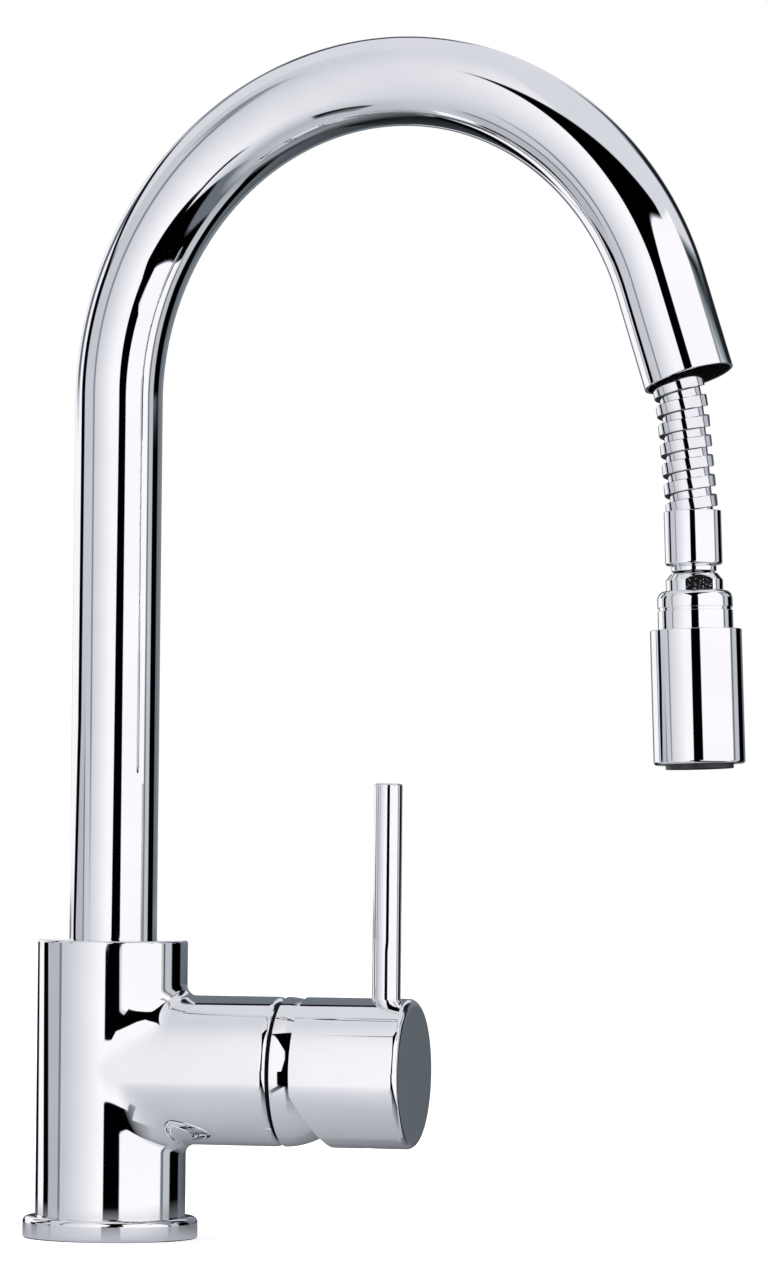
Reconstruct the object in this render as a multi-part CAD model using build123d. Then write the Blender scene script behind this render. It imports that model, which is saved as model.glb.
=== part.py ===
from build123d import *
import os
from math import atan2, cos, degrees, pi, radians, sin, sqrt, tan

os.makedirs("parts", exist_ok=True)

# A sink mixer with a side lever, a gooseneck spout and a pull-out spray head.
# Millimetres. The origin is on the body's axis, at the face that stands on the deck.
# +Z is up and +X is the way the spout points. The lever's branch is turned away from it.

# Body barrel and foot
body_d = 48.0
body_top_z = 95.0
body_foot_z = 1.5
body_edge_r = 0.8
hose_passage_d = 18.4
flange_overhang = 4.0
flange_d = body_d + 2 * flange_overhang
flange_h = 7.0
flange_edge_r = 1.2
flange_edge_share = 0.4
flange_lip_w = 1.2
flange_gap = 0.1
seal_groove_w = 2.2
seal_groove_inset = 1.2
seal_t = 1.2

# Hollow foot, with the supply nipples and the stud holes in its roof
foot_cavity_r = 21.5
foot_roof_z = 16.0
nipple_d = 12.0
nipple_thread_r = 4.5
nipple_thread_l = 12.0
nipple_tail_r = 4.2
nipple_tail_l = 6.0
port_circle_r = 15.1
port_way_r = 3.0
inlet_spread_deg = 50.0
stud_hole_r = 3.4
stud_hole_l = 18.0
stud_hole_x = -12.0
stud_spacing = 23.0

# Branch, which carries the cartridge and the lever
branch_d = 47.5
branch_z = 54.0
branch_turn = 13.0
branch_fillet_r = 4.0
branch_edge_r = 0.8
pivot_x = 58.0

# Cartridge, measured outward along the branch
seat_x = 26.0
cartridge_d = 35.0
cartridge_wall = 1.8
cartridge_clear = 0.1
base_t = 6.0
port_seal_t = 1.2
port_seal_w = 1.8
inlet_up = 2.0
inlet_side = 10.0
outlet_down = 10.0
fixed_disc_t = 3.4
moving_disc_t = 3.15
moving_disc_r = 11.5
disc_play = 0.05
driver_t = 6.4
driver_flat = 9.4
rail_t = 2.0
rail_half = 8.0
rail_play = 0.2
rotor_plate_t = 4.7
rotor_neck_r = 12.0
rotor_end_x = 61.5
housing_cap_t = 2.0
running_play = 0.08
axial_play = 0.2
slot_play = 0.25
moving_gap = 0.3
nut_thread_r = 18.0
nut_end_x = 61.5
nut_notches = 4
nut_notch_w = 3.0
nut_notch_l = 2.0

# Lever stem and its pin
lever_reach = 16.0
lift_deg = 25.0
stem_ball_r = 3.0
stem_waist_r = 2.3
stem_mid_r = 4.0
stem_r = 4.5
stem_mid_x = 52.0
stem_step_x = 64.0
stem_end_x = 94.0
pin_r = 1.5
pin_half = 11.0

# Domed collar and the handle that glides over it
dome_wall = 2.0
dome_opening_r = 16.4
dome_gap = 0.3
collar_thread_l = 3.5
handle_start = 7.0
handle_face_x = 100.0
handle_edge = 0.5
handle_hub_r = 6.6
handle_hub_x = 71.0
handle_cut_drop = 6.8
handle_cut_deg = 28.5
rod_d = 9.0
rod_x = 90.5
rod_top = 91.7
rod_seat = 9.5
rod_edge_r = 0.8
grub_r = 2.5
grub_x = 86.0
grub_l = 8.0
plug_r = 3.2
plug_t = 2.5
plug_sink = 1.2
socket_r = 1.25
socket_l = 3.0

# Gooseneck spout
tube_d = 28.0
tube_wall = 1.0
tube_start_z = 92.0
bend_start_z = 268.0
bend_r = 98.0
bend_deg = 161.5
outlet_l = 31.0
rim_r = 0.3
guide_depth = 15.0
guide_l = 8.0
guide_bore_r = 10.4

# Spout foot in the body's socket
socket_floor_z = 61.0
socket_play = 0.15
mouth_relief = 0.35
mouth_relief_l = 3.5
washer_t = 1.4
foot_gap = 0.1
foot_clear = 0.15
foot_spigot_l = 12.0
ring_core_r = 12.6
ring_w = 5.0
ring_split = 1.0
lower_ring_z = 64.0
upper_ring_z = 85.0
o_ring_z = 80.0
o_ring_w = 2.4
groove_z = 75.0
groove_half = 2.5
groove_r = 12.2
set_screw_r = 2.5
set_tip_r = 2.0
set_tip_gap = 0.3
set_screw_sink = 1.0

# Pull-out hose
hose_d = 16.0
hose_valley_d = 12.9
hose_bore_d = 10.0
hose_pitch = 6.1
hose_band = 3.5
hose_ramp = 0.35
hose_split_l = 20.0
hose_foot_l = 16.0
hose_foot_r = 8.8
hose_tail_l = 12.0
hose_tail_r = 4.95
hose_tail_bore_r = 3.5
hose_thread_r = 5.5
hose_thread_l = 10.0

# The head's stations, measured down its axis from the top of the hose's ferrule
head_tilt = 2.3
swing_r = 270.0
swing_foot = 39.1
ferrule_d = 17.5
ferrule_l = 16.6
ferrule_edge_r = 0.9
waist_d = 13.8
waist_gap = 0.3
waist_end = 18.3
cone_start = 19.2
cone_top_r = 7.2
neck_start = 21.2
neck_d = 17.5
neck_end = 24.4
flat_half = 7.65
flat_turn = -35.0
cap_d = 23.0
cap_shoulder = 2.8
cap_end = 29.6
groove_w = 0.9
groove_sink = 0.4
shoulder = 36.3
sleeve_d = 28.0
sleeve_wall = 1.2
sleeve_end = 77.4
sleeve_edge_r = 1.0
aerator_end = 78.7

# Swivel in the ferrule and ball joint in the head
shank_r = 5.5
shank_start = 4.6
shank_flange_r = 6.4
shank_flange_start = 2.6
shank_chamber_r = 6.9
shank_chamber_start = 2.0
swivel_ring_start = 9.0
swivel_ring_w = 2.0
swivel_ring_sink = 1.1
ball_r = 7.5
ball_at = 27.2
ball_play = 0.06
ball_stem_r = 5.0
ball_flat = 33.2
neck_bore_r = 5.9
water_way_r = 3.0
housing_r = 9.4
housing_end = 33.9
seat_start = 29.5
seat_end = 33.5
seat_bore_r = 4.2
washer_end = 35.0
washer_bore_r = 4.5

# Inside the head
valve_r = 7.0
valve_l = 13.0
valve_bore_r = 4.4
valve_gap = 1.0
valve_rib = 1.0
poppet_r = 3.6
poppet_l = 6.0
head_throat_r = 4.5
head_throat_start = 50.0
head_chamber_start = 54.0
head_chamber_r = 8.0
aerator_thread_r = 11.0
aerator_seat = 66.2
aerator_seal_end = 68.0
aerator_seal_bore_r = 8.3
aerator_bore_r = 9.3
aerator_lip_r = 10.4
aerator_floor = 2.0
aerator_core_l = 5.0
core_hole_r = 0.9
floor_holes = 12
floor_ring_share = 0.7
core_ring_radii = (3.0, 5.6, 7.8)
core_ring_holes = 6
screen_t = 1.2
screen_sink = 0.7
screen_pitch = 1.9
screen_hole_r = 0.72

# Worked out from the sizes above
body_r = body_d / 2
flange_r = flange_d / 2
flange_bore_r = body_r + flange_gap
passage_r = hose_passage_d / 2
branch_r = branch_d / 2
cartridge_r = cartridge_d / 2
tube_r = tube_d / 2
tube_bore_r = tube_r - tube_wall
hose_r = hose_d / 2
hose_bore_r = hose_bore_d / 2
hose_split_deg = degrees(hose_split_l / bend_r)
rod_r = rod_d / 2
socket_bore_r = tube_r + socket_play
dome_r = branch_r
fixed_disc_x = seat_x + base_t
moving_disc_x = fixed_disc_x + fixed_disc_t + disc_play
driver_x = moving_disc_x + moving_disc_t
rotor_x = driver_x + driver_t + moving_gap
housing_top_x = rotor_x + rotor_plate_t + axial_play + housing_cap_t
housing_bore_r = cartridge_r - cartridge_wall
lever_ball_x = pivot_x - lever_reach
disc_stroke = lever_reach * sin(radians(lift_deg))
disc_offset = disc_stroke / 2
cartridge_bore_r = cartridge_r + cartridge_clear

BASE = (Align.CENTER, Align.CENTER, Align.MIN)

# Turning about +Y by a positive angle takes +Z towards +X
mouth_tilt = 180.0 - bend_deg
mouth_out = Vector(sin(radians(mouth_tilt)), 0, -cos(radians(mouth_tilt)))
mouth_side = Vector(-cos(radians(mouth_tilt)), 0, -sin(radians(mouth_tilt)))
bend_centre = Vector(bend_r, 0, bend_start_z)
bend_end = bend_centre - mouth_side * bend_r
mouth_at = bend_end + mouth_out * outlet_l

# Pulling out swings the hose along its own curve, whose centre lies on the body's side
swing_centre = mouth_at - mouth_out * swing_foot + mouth_side * swing_r
swing_to_dock = mouth_tilt - head_tilt
head_out = Vector(sin(radians(head_tilt)), 0, -cos(radians(head_tilt)))


def swung(point, angle):
    """The point after a turn about +Y through the swing centre."""
    arm = point - swing_centre
    a = radians(angle)
    return swing_centre + Vector(arm.X * cos(a) + arm.Z * sin(a), 0, arm.Z * cos(a) - arm.X * sin(a))


shoulder_at = swung(mouth_at, swing_to_dock)
ferrule_at = shoulder_at - head_out * shoulder

branch_out = Vector(cos(radians(branch_turn)), sin(radians(branch_turn)), 0)
branch_frame = Plane(origin=(0, 0, branch_z), x_dir=(0, 0, 1), z_dir=branch_out)
head_frame = Plane(origin=ferrule_at, x_dir=(0, 1, 0), z_dir=head_out)
mouth_frame = Plane(origin=mouth_at, x_dir=(0, 1, 0), z_dir=mouth_out)
# In the branch frame x is up, y points to the lever's near side and z points outward


def rod_solid(radius, start, end):
    return Pos(0, 0, start) * Cylinder(radius, end - start, align=BASE)


def ring(outer, inner, start, end):
    return rod_solid(outer, start, end) - rod_solid(inner, start, end)


def turned(points):
    """A solid turned about Z from (radius, height) corners."""
    outline = Polyline(*[(r, 0, z) for r, z in points], close=True)
    return revolve(make_face(outline), Axis.Z)


def circles_at(shape, height, radius):
    """The circular edges of a turned piece at one height and radius."""
    found = []
    for edge in shape.edges().filter_by(GeomType.CIRCLE):
        if abs(edge.center().Z - height) < 0.01 and abs(edge.radius - radius) < 0.01:
            found.append(edge)
    return found


def write(name, shape):
    shape.label = name
    export_step(shape, os.path.join("parts", name + ".step"))


# Root: body, foot and what is fixed in them

def port_places():
    """Hot, cold and mixed ports in the branch's own directions."""
    a = radians(inlet_spread_deg)
    return {
        "hot": (port_circle_r * cos(a), port_circle_r * sin(a)),
        "cold": (port_circle_r * cos(a), -port_circle_r * sin(a)),
        "mixed": (port_circle_r, 0),
    }


def port_ways():
    """Vertical ways up from the foot's roof, each met by one from the cartridge's seat."""
    ups = {"hot": inlet_up, "cold": inlet_up, "mixed": -outlet_down}
    sides = {"hot": inlet_side, "cold": -inlet_side, "mixed": 0}
    turn = Rot(0, 0, branch_turn)
    ways = []
    for name, (x, y) in port_places().items():
        top = branch_z + ups[name] + port_way_r / 2
        ways.append(turn * Pos(x, y, 0) * rod_solid(nipple_tail_r, foot_roof_z, foot_roof_z + nipple_tail_l))
        ways.append(turn * Pos(x, y, 0) * rod_solid(port_way_r, foot_roof_z, top))
        ways.append(branch_frame * Pos(ups[name], sides[name], 0) * rod_solid(port_way_r, x, seat_x + 1))
    return ways


def nipple(name):
    """Threaded end for one flexible supply hose, hanging from the foot's roof."""
    x, y = port_places()[name]
    end = foot_roof_z + nipple_tail_l
    tube = rod_solid(nipple_d / 2, body_foot_z, foot_roof_z) + rod_solid(nipple_tail_r, foot_roof_z, end)
    tube -= rod_solid(port_way_r, body_foot_z, end)
    tube -= rod_solid(nipple_thread_r, body_foot_z, body_foot_z + nipple_thread_l)
    return Rot(0, 0, branch_turn) * Pos(x, y, 0) * tube


def hot_inlet_nipple():
    return nipple("hot")


def cold_inlet_nipple():
    return nipple("cold")


def outlet_nipple():
    return nipple("mixed")


def mixer_body():
    barrel = rod_solid(body_r, body_foot_z, body_top_z)
    barrel = fillet(circles_at(barrel, body_top_z, body_r), body_edge_r)
    branch = rod_solid(branch_r, 0, pivot_x)
    branch = fillet(circles_at(branch, pivot_x, branch_r), branch_edge_r)
    body = barrel + branch_frame * branch
    crotch = body.edges().filter_by(GeomType.BSPLINE)
    body = fillet(crotch, branch_fillet_r)
    body -= rod_solid(foot_cavity_r, 0, foot_roof_z)
    body -= rod_solid(passage_r, 0, body_top_z)
    body -= rod_solid(socket_bore_r, socket_floor_z, body_top_z + 1)
    body -= rod_solid(tube_r + mouth_relief, body_top_z - mouth_relief_l, body_top_z + 1)
    body -= branch_frame * rod_solid(cartridge_bore_r, seat_x, pivot_x + 1)
    body -= branch_frame * rod_solid(nut_thread_r, housing_top_x, pivot_x + 1)
    for way in port_ways():
        body -= way
    for side in (-1, 1):
        hole = rod_solid(stud_hole_r, foot_roof_z, foot_roof_z + stud_hole_l)
        body -= Pos(stud_hole_x, side * stud_spacing / 2, 0) * hole
    screw_way = Plane(origin=(0, 0, groove_z), x_dir=(0, 0, 1), z_dir=branch_out * -1)
    body -= screw_way * rod_solid(set_screw_r, socket_bore_r - 1, body_r + 1)
    return body


def base_flange():
    """Ring round the body's foot, trapped between the body and the deck by its inner lip."""
    lip_r = body_r - flange_lip_w
    flange = turned([
        (lip_r, 0), (flange_r, 0), (flange_r, flange_h), (flange_bore_r, flange_h),
        (flange_bore_r, body_foot_z), (lip_r, body_foot_z),
    ])
    edge = min(flange_edge_r, flange_edge_share * (flange_r - flange_bore_r))
    flange = fillet(circles_at(flange, flange_h, flange_r), edge)
    return flange - base_seal()


def base_seal():
    outer = flange_r - seal_groove_inset
    return ring(outer, outer - seal_groove_w, 0, seal_t)


def spout_thrust_washer():
    return ring(socket_bore_r - foot_clear, passage_r + flange_gap, socket_floor_z, socket_floor_z + washer_t)


def spout_retaining_screw():
    """Set screw in the back of the body, whose tip runs in the spout foot's groove."""
    tip = groove_r + set_tip_gap
    step = socket_bore_r + set_tip_gap
    back = body_r - set_screw_sink
    screw = rod_solid(set_tip_r, tip, step) + rod_solid(set_screw_r, step, back)
    key = Pos(0, 0, back - socket_l) * extrude(RegularPolygon(socket_r, 6), socket_l)
    frame = Plane(origin=(0, 0, groove_z), x_dir=(0, 0, 1), z_dir=branch_out * -1)
    return frame * (screw - key)


# Cartridge

def ports_through(start, end, radius):
    """The three ways through the base and the fixed disc, in the branch frame."""
    places = [(inlet_up, inlet_side), (inlet_up, -inlet_side), (-outlet_down, 0)]
    return [Pos(up, side, 0) * rod_solid(radius, start, end) for up, side in places]


def cartridge_base():
    base = rod_solid(cartridge_r, seat_x, fixed_disc_x)
    for way in ports_through(seat_x, fixed_disc_x, port_way_r):
        base -= way
    for way in ports_through(seat_x, seat_x + port_seal_t, port_way_r + port_seal_w):
        base -= way
    return branch_frame * base


def port_seals():
    """Three rubber rings between the cartridge and its seat."""
    outer = ports_through(seat_x, seat_x + port_seal_t, port_way_r + port_seal_w)
    inner = ports_through(seat_x, seat_x + port_seal_t, port_way_r)
    return Compound(children=[branch_frame * (o - i) for o, i in zip(outer, inner)])


def fixed_ceramic_disc():
    disc = rod_solid(housing_bore_r - cartridge_clear, fixed_disc_x, fixed_disc_x + fixed_disc_t)
    for way in ports_through(fixed_disc_x, fixed_disc_x + fixed_disc_t, port_way_r):
        disc -= way
    return branch_frame * disc


def moving_ceramic_disc():
    """Sliding disc, off centre while the lever is closed, with its mixing hollow underneath."""
    disc = rod_solid(moving_disc_r, moving_disc_x, driver_x)
    hollow = rod_solid(moving_disc_r / 2, moving_disc_x, moving_disc_x + moving_disc_t / 2)
    return branch_frame * Pos(-disc_offset, 0, 0) * (disc - hollow)


def disc_driver():
    """Carrier on the moving disc, with the slot that the lever's ball pushes."""
    width = 2 * driver_flat
    body = rod_solid(moving_disc_r, driver_x, driver_x + driver_t)
    keep = Pos(0, 0, driver_x) * Box(3 * moving_disc_r, width, driver_t, align=BASE)
    slot_x = 2 * (stem_ball_r + slot_play)
    slot_y = 2 * (stem_ball_r + 2 * running_play)
    slot = Pos(0, 0, driver_x) * Box(slot_x, slot_y, driver_t, align=BASE)
    return branch_frame * ((Pos(-disc_offset, 0, 0) * (body & keep)) - slot)


def cartridge_housing():
    cap_x = housing_top_x - housing_cap_t
    shell = ring(cartridge_r, housing_bore_r, fixed_disc_x, cap_x)
    shell += ring(cartridge_r, rotor_neck_r + running_play, cap_x, housing_top_x)
    return branch_frame * shell


def cartridge_rotor():
    """Turning carrier: a plate with two guide rails, and a slotted neck that holds the pin."""
    rotor = rod_solid(housing_bore_r - moving_gap, rotor_x, rotor_x + rotor_plate_t)
    rotor += rod_solid(rotor_neck_r, rotor_x, rotor_end_x)
    rail_x = driver_x + moving_gap
    for side in (-1, 1):
        at = side * (driver_flat + rail_play + rail_t / 2)
        rail = Box(2 * rail_half, rail_t, rotor_x - rail_x, align=BASE)
        rotor += Pos(0, at, rail_x) * rail
    lift = radians(lift_deg)
    low = stem_mid_r / cos(lift) + (rotor_end_x - pivot_x) * tan(lift) + moving_gap
    high = disc_stroke + stem_ball_r + moving_gap
    slot = Box(low + high, 2 * (stem_mid_r + slot_play), rotor_end_x - rotor_x, align=BASE)
    rotor -= Pos((high - low) / 2, 0, rotor_x) * slot
    return branch_frame * (rotor - pin_solid(pin_r))


def pin_solid(radius):
    """A rod across the branch through the lever's pivot."""
    across = Plane(origin=(0, 0, pivot_x), x_dir=(0, 0, 1), z_dir=(0, 1, 0))
    return across * rod_solid(radius, -pin_half, pin_half)


def pivot_pin():
    return branch_frame * pin_solid(pin_r)


def cartridge_nut():
    nut = ring(nut_thread_r, rotor_neck_r + 2 * moving_gap, housing_top_x, nut_end_x)
    for turn in range(nut_notches):
        notch = Box(nut_notch_w, nut_notch_w, nut_notch_l, align=(Align.CENTER, Align.CENTER, Align.MAX))
        nut -= Rot(0, 0, 360 / nut_notches * turn) * Pos(nut_thread_r - nut_notch_w, 0, nut_end_x) * notch
    return branch_frame * nut


def dome_collar():
    """Chromed ball zone centred on the lever's pivot, screwed onto the cartridge nut."""
    shell = Sphere(dome_r) - Sphere(dome_r - dome_wall) - rod_solid(dome_opening_r, 0, dome_r)
    shell &= rod_solid(dome_r, 0, dome_r)
    thread = ring(dome_r - dome_wall / 2, nut_thread_r, 0, collar_thread_l) & Sphere(dome_r - dome_wall / 2)
    return branch_frame * Pos(0, 0, pivot_x) * (shell + thread)


# Lever

def lever_stem():
    """Ball in the driver, waist in the rotor, and a shank that ends in the handle."""
    stem = Pos(0, 0, lever_ball_x) * Sphere(stem_ball_r)
    stem += rod_solid(stem_waist_r, lever_ball_x, stem_mid_x)
    stem += rod_solid(stem_mid_r, stem_mid_x, stem_step_x)
    stem += rod_solid(stem_r, stem_step_x, stem_end_x)
    return branch_frame * (stem - pin_solid(pin_r + slot_play / 5))


def handle_shell():
    """Barrel with a hollow that clears the dome, and its lower rear cut away for the lift."""
    start_x = pivot_x + handle_start
    shell = rod_solid(branch_r, start_x, handle_face_x)
    shell = chamfer(circles_at(shell, handle_face_x, branch_r), handle_edge)
    shell -= Pos(0, 0, pivot_x) * Sphere(dome_r + dome_gap)
    shell += rod_solid(handle_hub_r, handle_hub_x, pivot_x + dome_r + dome_gap)
    low = -2 * branch_r
    far_x = start_x + (-handle_cut_drop - low) * tan(radians(handle_cut_deg))
    wedge = Polyline(
        (-handle_cut_drop, 0, start_x - 1), (-handle_cut_drop, 0, start_x),
        (low, 0, far_x), (low, 0, start_x - 1), close=True,
    )
    shell -= extrude(make_face(wedge), amount=2 * branch_r, dir=(0, 1, 0), both=True)
    shell -= rod_solid(stem_r, handle_hub_x - 1, stem_end_x + 1)
    up = Plane(origin=(0, 0, rod_x), x_dir=(0, 1, 0), z_dir=(1, 0, 0))
    shell -= up * rod_solid(rod_r, rod_seat, 2 * branch_r)
    down = grub_frame()
    shell -= down * rod_solid(grub_r, 0, branch_r + 1)
    shell -= down * rod_solid(plug_r, branch_r - plug_sink - plug_t, branch_r + 1)
    return branch_frame * shell


def grub_frame():
    return Plane(origin=(0, 0, grub_x), x_dir=(0, 1, 0), z_dir=(-1, 0, 0))


def handle_grub_screw():
    screw = rod_solid(grub_r, stem_r, stem_r + grub_l)
    key = Pos(0, 0, stem_r + grub_l - socket_l) * extrude(RegularPolygon(socket_r, 6), socket_l)
    return branch_frame * grub_frame() * (screw - key)


def handle_plug():
    end = branch_r - plug_sink
    plug = rod_solid(plug_r, end - plug_t, end)
    return branch_frame * grub_frame() * plug


def lever_rod():
    up = Plane(origin=(0, 0, rod_x), x_dir=(0, 1, 0), z_dir=(1, 0, 0))
    rod = rod_solid(rod_r, rod_seat, rod_top)
    rod = fillet(circles_at(rod, rod_top, rod_r), rod_edge_r)
    return branch_frame * up * rod


# Spout

def bend_point(sweep_deg):
    a = radians(sweep_deg)
    return Vector(bend_r - bend_r * cos(a), 0, bend_start_z + bend_r * sin(a))


def neck_route(start_z, sweep_deg):
    """Up the body's axis and round the bend."""
    foot = Line((0, 0, start_z), (0, 0, bend_start_z))
    return Wire([foot, ThreePointArc(foot @ 1, bend_point(sweep_deg / 2), bend_point(sweep_deg))])


def piped(route, outer, inner):
    section = Plane(origin=route @ 0, x_dir=(0, 1, 0), z_dir=route % 0) * (Circle(outer) - Circle(inner))
    return sweep(section, path=route)


def spout_tube():
    route = Wire(neck_route(tube_start_z, bend_deg).edges() + [Line(bend_end, mouth_at)])
    tube = piped(route, tube_r, tube_bore_r)
    rims = []
    for edge in tube.edges().filter_by(GeomType.CIRCLE):
        if (edge.arc_center - mouth_at).length < 0.01:
            rims.append(edge)
    return fillet(rims, rim_r)


def mouth_guide():
    """Plastic ring inside the mouth that steers the hose and the ferrule."""
    lead = (tube_bore_r - guide_bore_r) / 2
    top = -guide_depth - guide_l
    guide = turned([
        (tube_bore_r, top), (tube_bore_r, -guide_depth), (guide_bore_r + lead, -guide_depth),
        (guide_bore_r, -guide_depth - lead), (guide_bore_r, top + lead), (guide_bore_r + lead, top),
    ])
    return mouth_frame * guide


def spout_foot():
    """Turned foot brazed into the spout tube, grooved for its rings and for the set screw."""
    start = socket_floor_z + washer_t + foot_gap
    outer = tube_r - foot_clear
    foot = rod_solid(outer, start, tube_start_z)
    foot += rod_solid(tube_bore_r, tube_start_z, tube_start_z + foot_spigot_l)
    foot -= rod_solid(passage_r, start, tube_start_z + foot_spigot_l)
    for low, high, core in ring_grooves():
        foot -= ring(outer, core, low, high)
    foot -= ring(outer, groove_r, groove_z - groove_half, groove_z + groove_half)
    return foot


def ring_grooves():
    return [
        (lower_ring_z, lower_ring_z + ring_w, ring_core_r),
        (upper_ring_z, upper_ring_z + ring_w, ring_core_r),
        (o_ring_z, o_ring_z + o_ring_w, ring_core_r),
    ]


def spout_slide_rings():
    """Two split plastic rings that the spout turns on."""
    rings = []
    for low, high, core in ring_grooves()[:2]:
        split = Pos(-tube_r, 0, low) * Box(tube_r, ring_split, high - low, align=BASE)
        rings.append(ring(socket_bore_r - running_play, core, low, high) - split)
    return Compound(children=rings)


def spout_o_ring():
    low, high, core = ring_grooves()[2]
    return ring(socket_bore_r - running_play, core, low, high)


# Hose

def hose_foot_fitting():
    """Threaded end of the hose in the body's foot, with a tail inside the hose."""
    fitting = rod_solid(hose_foot_r, 0, hose_foot_l)
    fitting += rod_solid(hose_tail_r, hose_foot_l, hose_foot_l + hose_tail_l)
    fitting -= rod_solid(hose_thread_r, 0, hose_thread_l)
    return fitting - rod_solid(hose_tail_bore_r, 0, hose_foot_l + hose_tail_l)


def hose_inner():
    """The hose that stays inside the body and the gooseneck, up to where the docked ferrule ends."""
    return piped(neck_route(hose_foot_l, bend_deg - hose_split_deg), hose_r, hose_bore_r)


def free_route():
    """Up from the ferrule, into the mouth and on round the end of the gooseneck's bend."""
    half_turn = radians(swing_to_dock) / 2
    apart = ferrule_at - mouth_at
    cross = mouth_out.X * head_out.Z - mouth_out.Z * head_out.X
    corner = ferrule_at + head_out * ((apart.X * mouth_out.Z - apart.Z * mouth_out.X) / cross)
    tangent = bend_r * tan(half_turn)
    turn_start = corner + head_out * tangent
    turn_end = corner - mouth_out * tangent
    turn = TangentArc(turn_start, turn_end, tangent=head_out * -1)
    ends = (ferrule_at - turn_start).length, (turn_end - bend_end).length
    print("free hose: straight ends", [round(e, 1) for e in ends], "turn radius", bend_r)
    middle = bend_point(bend_deg - hose_split_deg / 2)
    last = ThreePointArc(bend_end, middle, bend_point(bend_deg - hose_split_deg))
    return Wire([Line(ferrule_at, turn_start), turn, Line(turn_end, bend_end), last])


def hose_free():
    """Strip-wound stretch of hose between the mouth and the ferrule, with its raised bands."""
    route = free_route()
    ribs = round(route.length / hose_pitch)
    step = route.length / ribs
    flank = hose_ramp
    gap = (step - hose_band) / 2 - flank
    stations = [(0, hose_valley_d / 2)]
    for rib in range(ribs):
        start = rib * step + gap
        stations.append((start, hose_valley_d / 2))
        stations.append((start + flank, hose_r))
        stations.append((start + flank + hose_band, hose_r))
        stations.append((start + 2 * flank + hose_band, hose_valley_d / 2))
    stations.append((route.length, hose_valley_d / 2))
    sections = []
    for along, radius in stations:
        share = along / route.length
        frame = Plane(origin=route @ share, x_dir=(0, 1, 0), z_dir=route % share)
        sections.append(frame * Circle(radius))
    outer = loft(sections, ruled=True)
    bore = Plane(origin=route @ 0, x_dir=(0, 1, 0), z_dir=route % 0) * Circle(hose_bore_r)
    print("free hose:", round(route.length, 1), "mm with", ribs, "bands, gap", round(step - hose_band, 2))
    hose = outer - sweep(bore, path=route)
    core = pi * ((hose_valley_d / 2) ** 2 - hose_bore_r ** 2) * route.length
    band = pi * (hose_r ** 2 - (hose_valley_d / 2) ** 2) * (hose_band + hose_ramp) * ribs
    print("free hose volume", round(hose.volume), "and by its section", round(core + band))
    return hose


def hose_ferrule():
    """Sleeve at the hose's end, with a tail inside the hose and a chamber for the swivel."""
    ferrule = turned([
        (hose_tail_bore_r, -hose_tail_l), (hose_tail_r, -hose_tail_l), (hose_tail_r, 0),
        (ferrule_d / 2, 0), (ferrule_d / 2, ferrule_l),
        (shank_r + running_play, ferrule_l), (shank_r + running_play, shank_start + moving_gap),
        (shank_chamber_r, shank_start + moving_gap), (shank_chamber_r, shank_chamber_start),
        (hose_tail_bore_r, shank_chamber_start),
    ])
    return head_frame * fillet(circles_at(ferrule, ferrule_l, ferrule_d / 2), ferrule_edge_r)


def swivel_neck():
    """Tail that turns in the ferrule, the waist below it, and the ball in the head."""
    waist_r = waist_d / 2
    taper = waist_end + (waist_r - ball_stem_r)
    neck = turned([
        (0, shank_flange_start), (shank_flange_r, shank_flange_start), (shank_flange_r, shank_start),
        (shank_r, shank_start), (shank_r, ferrule_l + waist_gap), (waist_r, ferrule_l + waist_gap),
        (waist_r, waist_end), (ball_stem_r, taper), (ball_stem_r, ball_at), (0, ball_at),
    ])
    neck += Pos(0, 0, ball_at) * Sphere(ball_r)
    neck -= rod_solid(ball_r, ball_flat, ball_at + ball_r + 1)
    neck -= rod_solid(water_way_r, 0, ball_flat)
    neck -= ring(shank_r, shank_r - swivel_ring_sink, swivel_ring_start, swivel_ring_start + swivel_ring_w)
    return head_frame * neck


def swivel_o_ring():
    outer = shank_r + running_play / 2
    seal = ring(outer, shank_r - swivel_ring_sink, swivel_ring_start, swivel_ring_start + swivel_ring_w)
    return head_frame * seal


# Spray head

def ball_housing():
    """Nut with two spanner flats: a cone and neck outside, the ball's seat inside."""
    seat_r = ball_r + ball_play
    housing = turned([
        (0, cone_start), (cone_top_r, cone_start), (neck_d / 2, neck_start), (neck_d / 2, neck_end),
        (housing_r, neck_end), (housing_r, housing_end), (0, housing_end),
    ])
    for side, edge in ((-1, Align.MAX), (1, Align.MIN)):
        block = Box(neck_d, neck_d, neck_end - cone_start, align=(edge, Align.CENTER, Align.MIN))
        housing -= Rot(0, 0, flat_turn) * Pos(flat_half * side, 0, cone_start) * block
    mouth = turned([
        (0, cone_start), (cone_top_r - ball_play, cone_start), (neck_bore_r, neck_start),
        (neck_bore_r, ball_at), (0, ball_at),
    ])
    housing -= mouth
    housing -= Pos(0, 0, ball_at) * Sphere(seat_r)
    return head_frame * (housing - rod_solid(seat_r, ball_at, housing_end))


def ball_seat():
    seat = ring(ball_r + ball_play, seat_bore_r, seat_start, seat_end)
    return head_frame * (seat - Pos(0, 0, ball_at) * Sphere(ball_r + ball_play))


def inlet_washer():
    return head_frame * ring(housing_r, washer_bore_r, housing_end, washer_end)


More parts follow.
